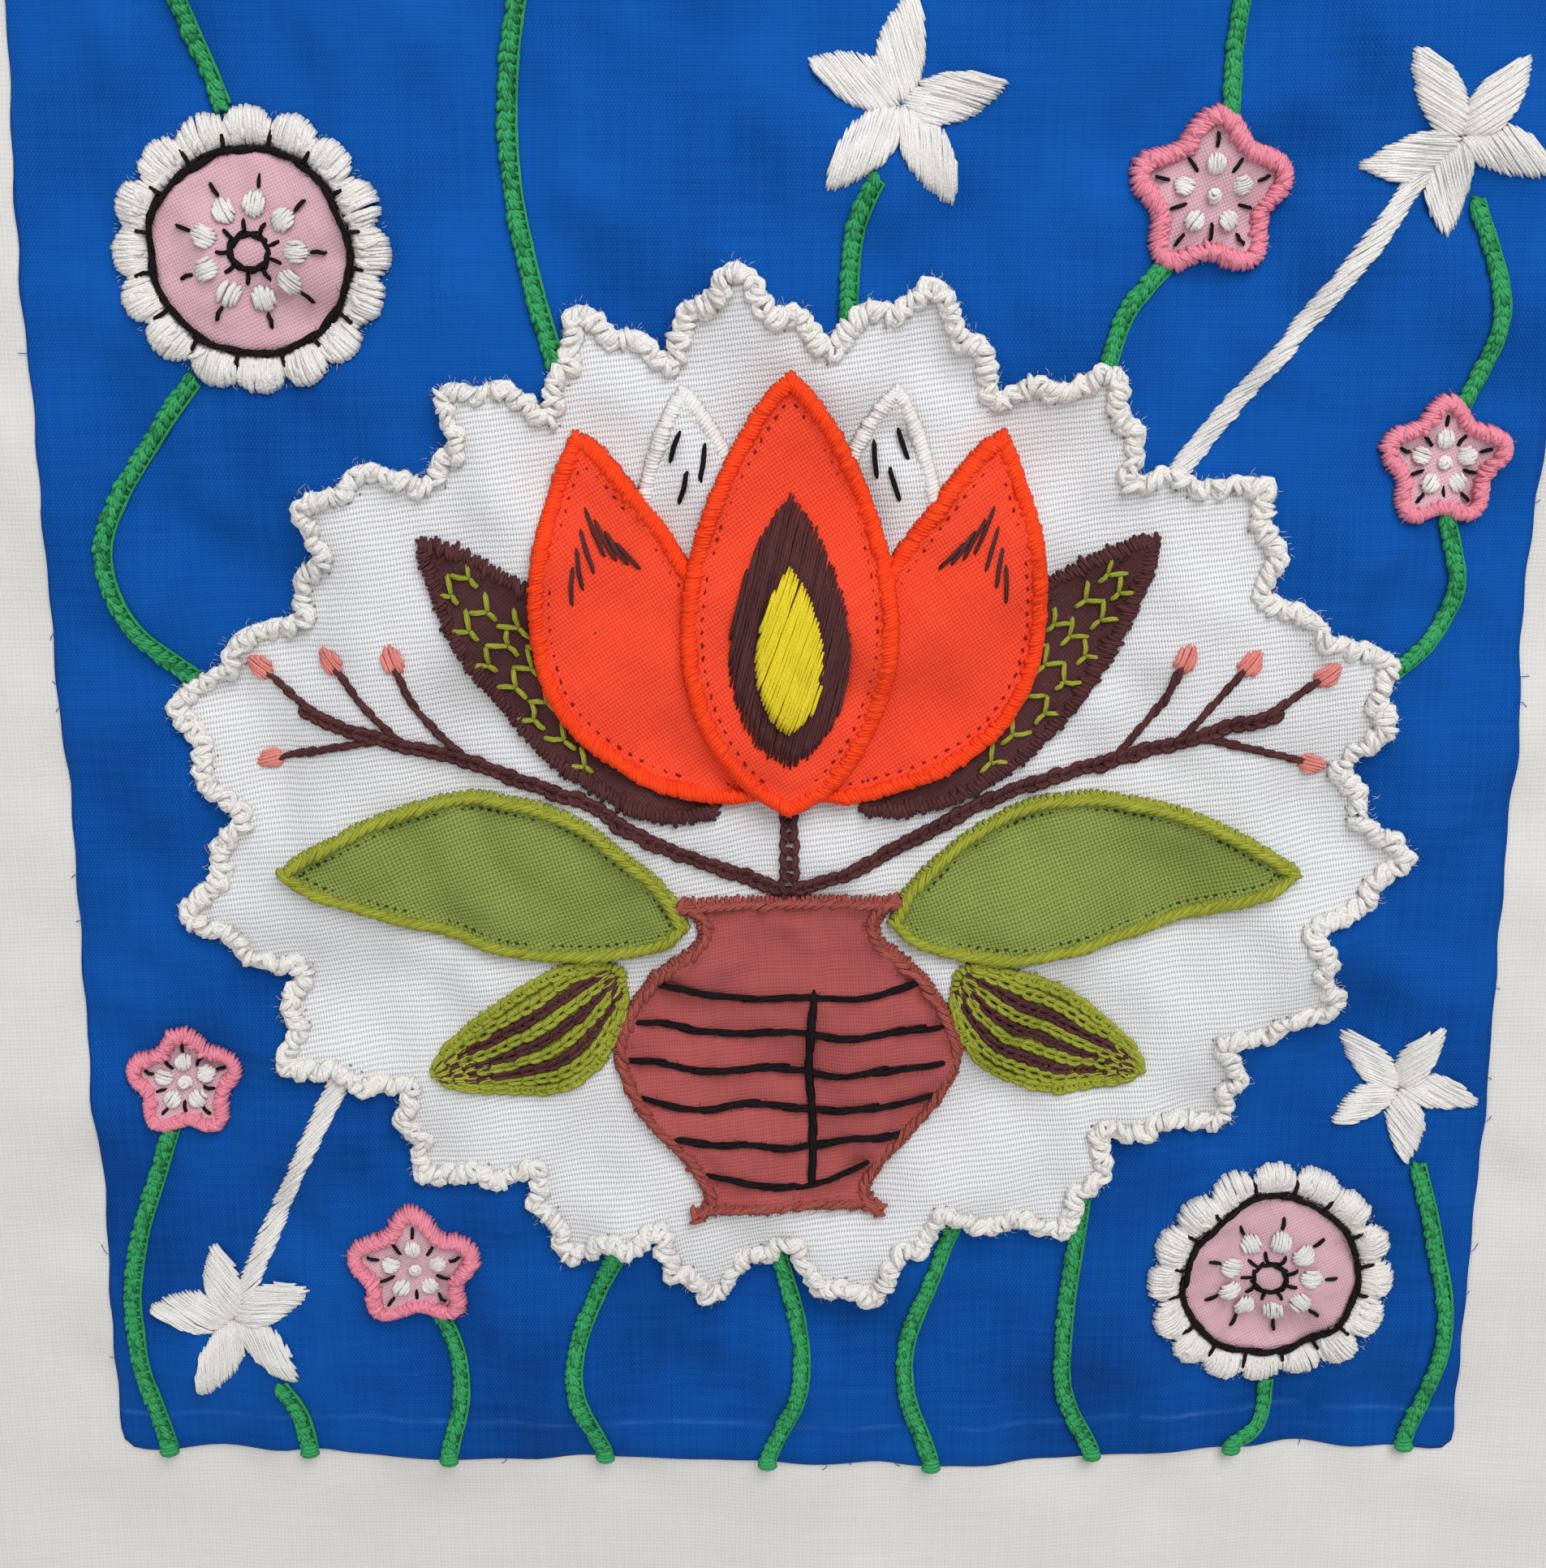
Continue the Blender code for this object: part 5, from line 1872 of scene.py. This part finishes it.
@dataclass
class Vine:
    """A green stitched vine, in the stretches that show between the patch and the flowers."""

    name: str
    points: Points
    pitch: float = 1.2
    room: float = 2.2
    overlap: float = 1.2
    shortest: float = 4.0
    foot_v: float = -90.0
    beads: tuple = ((0.74, 0.64, -0.34), (0.28, 0.90, 0.22), (-0.18, 0.78, 0.42))
    shaded: float = 0.14

    def stretches(self, around: Picture) -> list[Line]:
        """Find the stretches that show, and run each up to whatever it meets.

        Args:
            around: The picture, which knows what is in the way.

        Returns:
            The stretches, in order.
        """
        line = smooth_line(self.points, 40)
        clear = ~around.blocked(line, self.room)
        roomy = ~around.blocked(line, -self.overlap, petals=True)
        changes = np.flatnonzero(np.diff([False, *clear, False]))
        lines = []
        for first, last in zip(changes[::2], changes[1::2] - 1):
            if np.linalg.norm(line[last] - line[first]) <= self.shortest:
                continue
            while first > 0 and roomy[first - 1]:
                first -= 1
            while last < len(line) - 1 and roomy[last + 1]:
                last += 1
            stretch = line[first : last + 1]
            if first == 0 and stretch[0][1] < self.foot_v:
                stretch = np.vstack((stretch[0] - (0.0, 0.5), stretch))
            lines.append(stretch)
        return lines

    def build(self, around: Picture) -> None:
        """Build every stretch.

        Args:
            around: The picture, which knows what is in the way.
        """
        for number, stretch in enumerate(self.stretches(around), start=1):
            name = f"{self.name}_{number}"
            seed = 200 + number + len(self.points) * 7
            work = ThreadWork(f"{name}_stitches", GREEN_THREAD, (name,), seed=seed)
            shade = ThreadWork(f"{name}_shade", GREEN_SHADE, sides=4, seed=3 + number)
            self.stitch(work, shade, stretch, slotted=number % 2 == 1)
            work.build()
            shade.build()

    def stitch(self, work: ThreadWork, shade: ThreadWork, line: Line, slotted: bool) -> None:
        """Work close raised stitches over a cord, with a thin limb down one side.

        Args:
            work: The thread to work with.
            shade: The darker thread: a cord of painted shade under the slots between the stitches, and a few
                darker stitches.
            line: The stretch to cover.
            slotted: Whether the thin limb stands clear of the cord.
        """
        front = Front.PANEL.value
        limb = -1.08 if slotted else -0.88
        work.core(shifted(line, 0.22), front + 0.30, 0.80, 0.12)
        # Painted shade: a dark cord under the slots, where only shade shows between the stitches.
        shade.core(shifted(line, -0.62), front + 0.05, 0.36, 0.05)
        work.core(shifted(line, limb), front + 0.30, 0.24, 0.2)
        share = np.array((-1.0, -0.6, 0.0, 0.6, 1.0))
        if line[0][1] < self.foot_v:
            across = np.outer((-1.3, -0.8, 0.0, 0.8, 1.3), (1.0, 0.0))
            for up in (0.0, 0.5, 1.1):
                thick = np.array((0.35, 0.6, 0.72, 0.6, 0.35)) * work.rng.uniform(0.85, 1.1)
                work.length(line[0] + across * (1.0 - 0.2 * up) + (0.0, up), front + 0.3 + thick, thick)
        for place, along, left in stations(line, self.pitch):
            for offset, lift, slope in self.beads:
                thread = shade if work.rng.uniform() < self.shaded else work
                middle = place + left * (offset + work.rng.normal(0.0, 0.06))
                middle = middle + along * work.rng.normal(0.0, 0.14)
                run = along * self.pitch * work.rng.uniform(0.50, 0.74)
                run = run + left * slope * work.rng.uniform(0.5, 1.3)
                arch = lift + work.rng.uniform(-0.06, 0.12) + np.array((-0.42, -0.04, 0.06, -0.04, -0.42))
                thick = 0.46 * work.rng.uniform(0.85, 1.2) * np.array((0.5, 0.95, 1.1, 0.95, 0.5))
                thread.length(middle + np.outer(share, run), front + arch, thick)
            if work.rng.uniform() < 0.8:
                side = np.array((0.0, -0.42, -0.8, limb - 0.08))
                path = place + np.outer(side, left) + np.outer((0.2, 0.1, 0.0, -0.15), along * self.pitch)
                thick = np.array((0.26, 0.30, 0.26, 0.2)) * work.rng.uniform(0.8, 1.2)
                work.length(path, front + np.array((0.75, 0.62, 0.4, 0.2)), thick)


@dataclass
class WhiteStem:
    """A white stem of long overlapping stitches, from the patch to a star flower."""

    name: str
    points: Points
    width: float = 2.9
    slant: float = 22.0

    def build(self) -> None:
        """Build the stem."""
        work = ThreadWork(self.name, WHITE_THREAD, seed=150)
        line = smooth_line(self.points, 14)
        half = self.width / 2 * (0.9 + 0.1 * np.sin(np.linspace(0.0, 9.0, len(line))))[:, None]
        aside = (shifted(line, 1.0) - line) * half
        outline = np.vstack((line + aside, (line - aside)[::-1]))
        way = line[-1] - line[0]
        heading = math.degrees(math.atan2(way[1], way[0])) - self.slant
        work.satin(outline, heading, Front.PANEL.value, rise=0.6, pitch=0.34, radius=0.30, tooth=0.4)
        work.build()


@dataclass
class Picture:
    """The whole picture: the vase of flowers on its patch, and the garden round it."""

    daisies: tuple[Daisy, ...] = (Daisy("daisy_1", (-69, 75)), Daisy("daisy_2", (70, -70)))
    blossoms: tuple[Blossom, ...] = (
        Blossom("blossom_1", (54, 82), 10.5), Blossom("blossom_2", (86, 48), 8.5),
        Blossom("blossom_3", (-54, -68), 9.5), Blossom("blossom_4", (-86, -40), 8.0),
        Blossom("blossom_5", (-26, 138), 11.0), Blossom("blossom_6", (78, 154), 10.0),
    )
    stars: tuple[StarFlower, ...] = (
        StarFlower("star_1", (14, 93), 13.5, 0.2), StarFlower("star_2", (85, 89), 12.5, 0.9),
        StarFlower("star_3", (-81, -77), 13.0, 0.5), StarFlower("star_4", (87, -41), 11.0, 1.1),
        StarFlower("star_5", (-66, 150), 14.0, 0.0), StarFlower("star_6", (26, 160), 14.0, 0.7),
    )
    vines: tuple[Vine, ...] = tuple(
        Vine(f"vine_{number}", points)
        for number, points in enumerate((
            ((-92, -98), (-95.5, -72), (-86, -40)), ((-71, -98), (-73, -89), (-81, -77)),
            ((-50, -98), (-48, -85), (-54, -68)), ((-27, -98), (-31, -82), (-23, -60)),
            ((-3, -98), (2, -82), (-3, -60)), ((21, -98), (17, -82), (24, -60)),
            ((45, -98), (40, -84), (42, -56)), ((66, -98), (71, -92), (70, -70)),
            ((92, -98), (96, -76), (87, -41)),
            ((-72, 8), (-91, 36), (-69, 75), (-77, 112), (-66, 150)),
            ((-28, 50), (-36, 92), (-26, 138)),
            ((8, 50), (8, 76), (14, 93), (16, 128), (26, 160)),
            ((38, 44), (43, 66), (54, 82), (59, 118), (78, 154)),
            ((66, 10), (88, 27), (86, 48), (92, 68), (85, 89)),
        ), start=1)
    )
    stems: tuple[WhiteStem, ...] = (
        WhiteStem("star_2_stem", ((50.9, 45.8), (62, 60), (82, 86))),
        WhiteStem("star_3_stem", ((-63, -38), (-70, -52), (-80, -74))),
    )

    def blocked(self, line: Line, margin: float, petals: bool = False) -> np.ndarray:
        """Tell where the patch or a flower leaves no room for a vine.

        Args:
            line: The points to look at.
            margin: How much room to leave.
            petals: Whether a vine may run in between a star flower's petals.

        Returns:
            True for each point without room.
        """
        away = np.hypot(line[:, 0], line[:, 1])
        taken = away < PATCH.reach(np.arctan2(line[:, 1], line[:, 0])) + margin
        round_things = [(daisy.centre, daisy.ring + 0.9) for daisy in self.daisies]
        for blossom in self.blossoms:
            out = line - blossom.centre
            lobes = 1.0 - np.cos(blossom.lobes * (np.arctan2(out[:, 1], out[:, 0]) - math.pi / 2))
            taken |= np.hypot(*out.T) < blossom.radius * (1.0 - blossom.depth * lobes * petals) + margin
        if petals:
            for outline in (outline for star in self.stars for outline in star.outlines()):
                taken |= from_edge(line, outline) < 0.9
        else:
            round_things += [(star.centre, star.radius * 0.9) for star in self.stars]
        for centre, reach in round_things:
            taken |= np.hypot(*(line - centre).T) < reach + margin
        return taken

    def build(self) -> None:
        """Build the picture from the back to the front."""
        for vine in self.vines:
            vine.build(self)
        for flower in (*self.stems, *self.stars, *self.blossoms, *self.daisies):
            flower.build()
        for part in (PATCH, Vase(), Leaves(), Tulip(), Twigs()):
            part.build()


# Stage, light and camera.


@dataclass
class Studio:
    """A pale floor below the hanging, soft light, and the camera at the photograph's angle."""

    distance: float = 0.300
    pitch: float = 15.0
    aim: tuple[float, float, float] = (-0.0022, -0.003, -0.2421)
    seen_width: float = 0.2124
    floor_z: float = -0.47

    def build(self) -> None:
        """Set the stage, the lights and the camera."""
        self.floor()
        self.light("key_light", (0.30, -0.80, 0.55), 0.8, 12.3)
        self.light("fill_light", (-0.9, -0.7, 0.1), 1.0, 2.5)
        world = bpy.data.worlds.new("soft_daylight")
        world.use_nodes = True
        sheet = NodeSheet(world.node_tree)
        sheet.fill(sheet.tree.nodes["Background"], {"Color": (0.92, 0.95, 1.0, 1.0), "Strength": 0.27})
        bpy.context.scene.world = world
        bpy.context.scene.view_settings.view_transform = "Standard"
        self.camera()

    def floor(self) -> None:
        """Lay the pale floor."""
        mesh = bpy.data.meshes.new("pale_floor")
        corners = [(x, y, self.floor_z) for x, y in ((-2, -2), (2, -2), (2, 2), (-2, 2))]
        mesh.from_pydata(corners, [], [(0, 1, 2, 3)])
        material, sheet, shader = new_material("pale_floor")
        sheet.fill(shader, {"Base Color": (0.78, 0.77, 0.75, 1.0), "Roughness": 0.8})
        mesh.materials.append(material)
        floor = bpy.data.objects.new("pale_floor", mesh)
        bpy.context.scene.collection.objects.link(floor)

    def light(self, name: str, place: tuple[float, float, float], size: float, power: float) -> None:
        """Hang a soft square light that faces the picture.

        Args:
            name: The light's name.
            place: Where it hangs, in metres.
            size: Its side, in metres.
            power: Its power, in watts.
        """
        data = bpy.data.lights.new(name, "AREA")
        data.size = size
        data.energy = power
        self.stand(name, data, np.array(place))

    def stand(self, name: str, data: bpy.types.ID, place: np.ndarray) -> bpy.types.Object:
        """Stand a light or the camera in its place, facing the picture.

        Args:
            name: Its name.
            data: Its settings.
            place: Where it stands, in metres.

        Returns:
            The new object.
        """
        made = bpy.data.objects.new(name, data)
        made.location = place
        across, ahead, up = self.aim - place
        made.rotation_euler = math.atan2(math.hypot(across, ahead), -up), 0.0, math.atan2(-across, ahead)
        bpy.context.scene.collection.objects.link(made)
        return made

    def camera(self) -> None:
        """Stand the camera before the picture, a little above its middle and looking down."""
        data = bpy.data.cameras.new("camera")
        data.sensor_fit = "HORIZONTAL"
        data.sensor_width = 36.0
        data.lens = 36.0 * self.distance / self.seen_width
        data.clip_start = 0.01
        data.dof.use_dof = False
        tilt = math.radians(self.pitch)
        away = np.array((0.0, -math.cos(tilt), math.sin(tilt))) * self.distance
        bpy.context.scene.camera = self.stand("camera", data, self.aim + away)


def main() -> None:
    """Build the hanging from the back to the front, then its stage."""
    logging.basicConfig(level=logging.INFO, format="%(name)s: %(message)s")
    for part in (GroundCloth(), BluePanel(), Picture(), Studio()):
        LOG.info("building %s", type(part).__name__)
        part.build()
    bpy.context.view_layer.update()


if __name__ == "__main__":
    main()
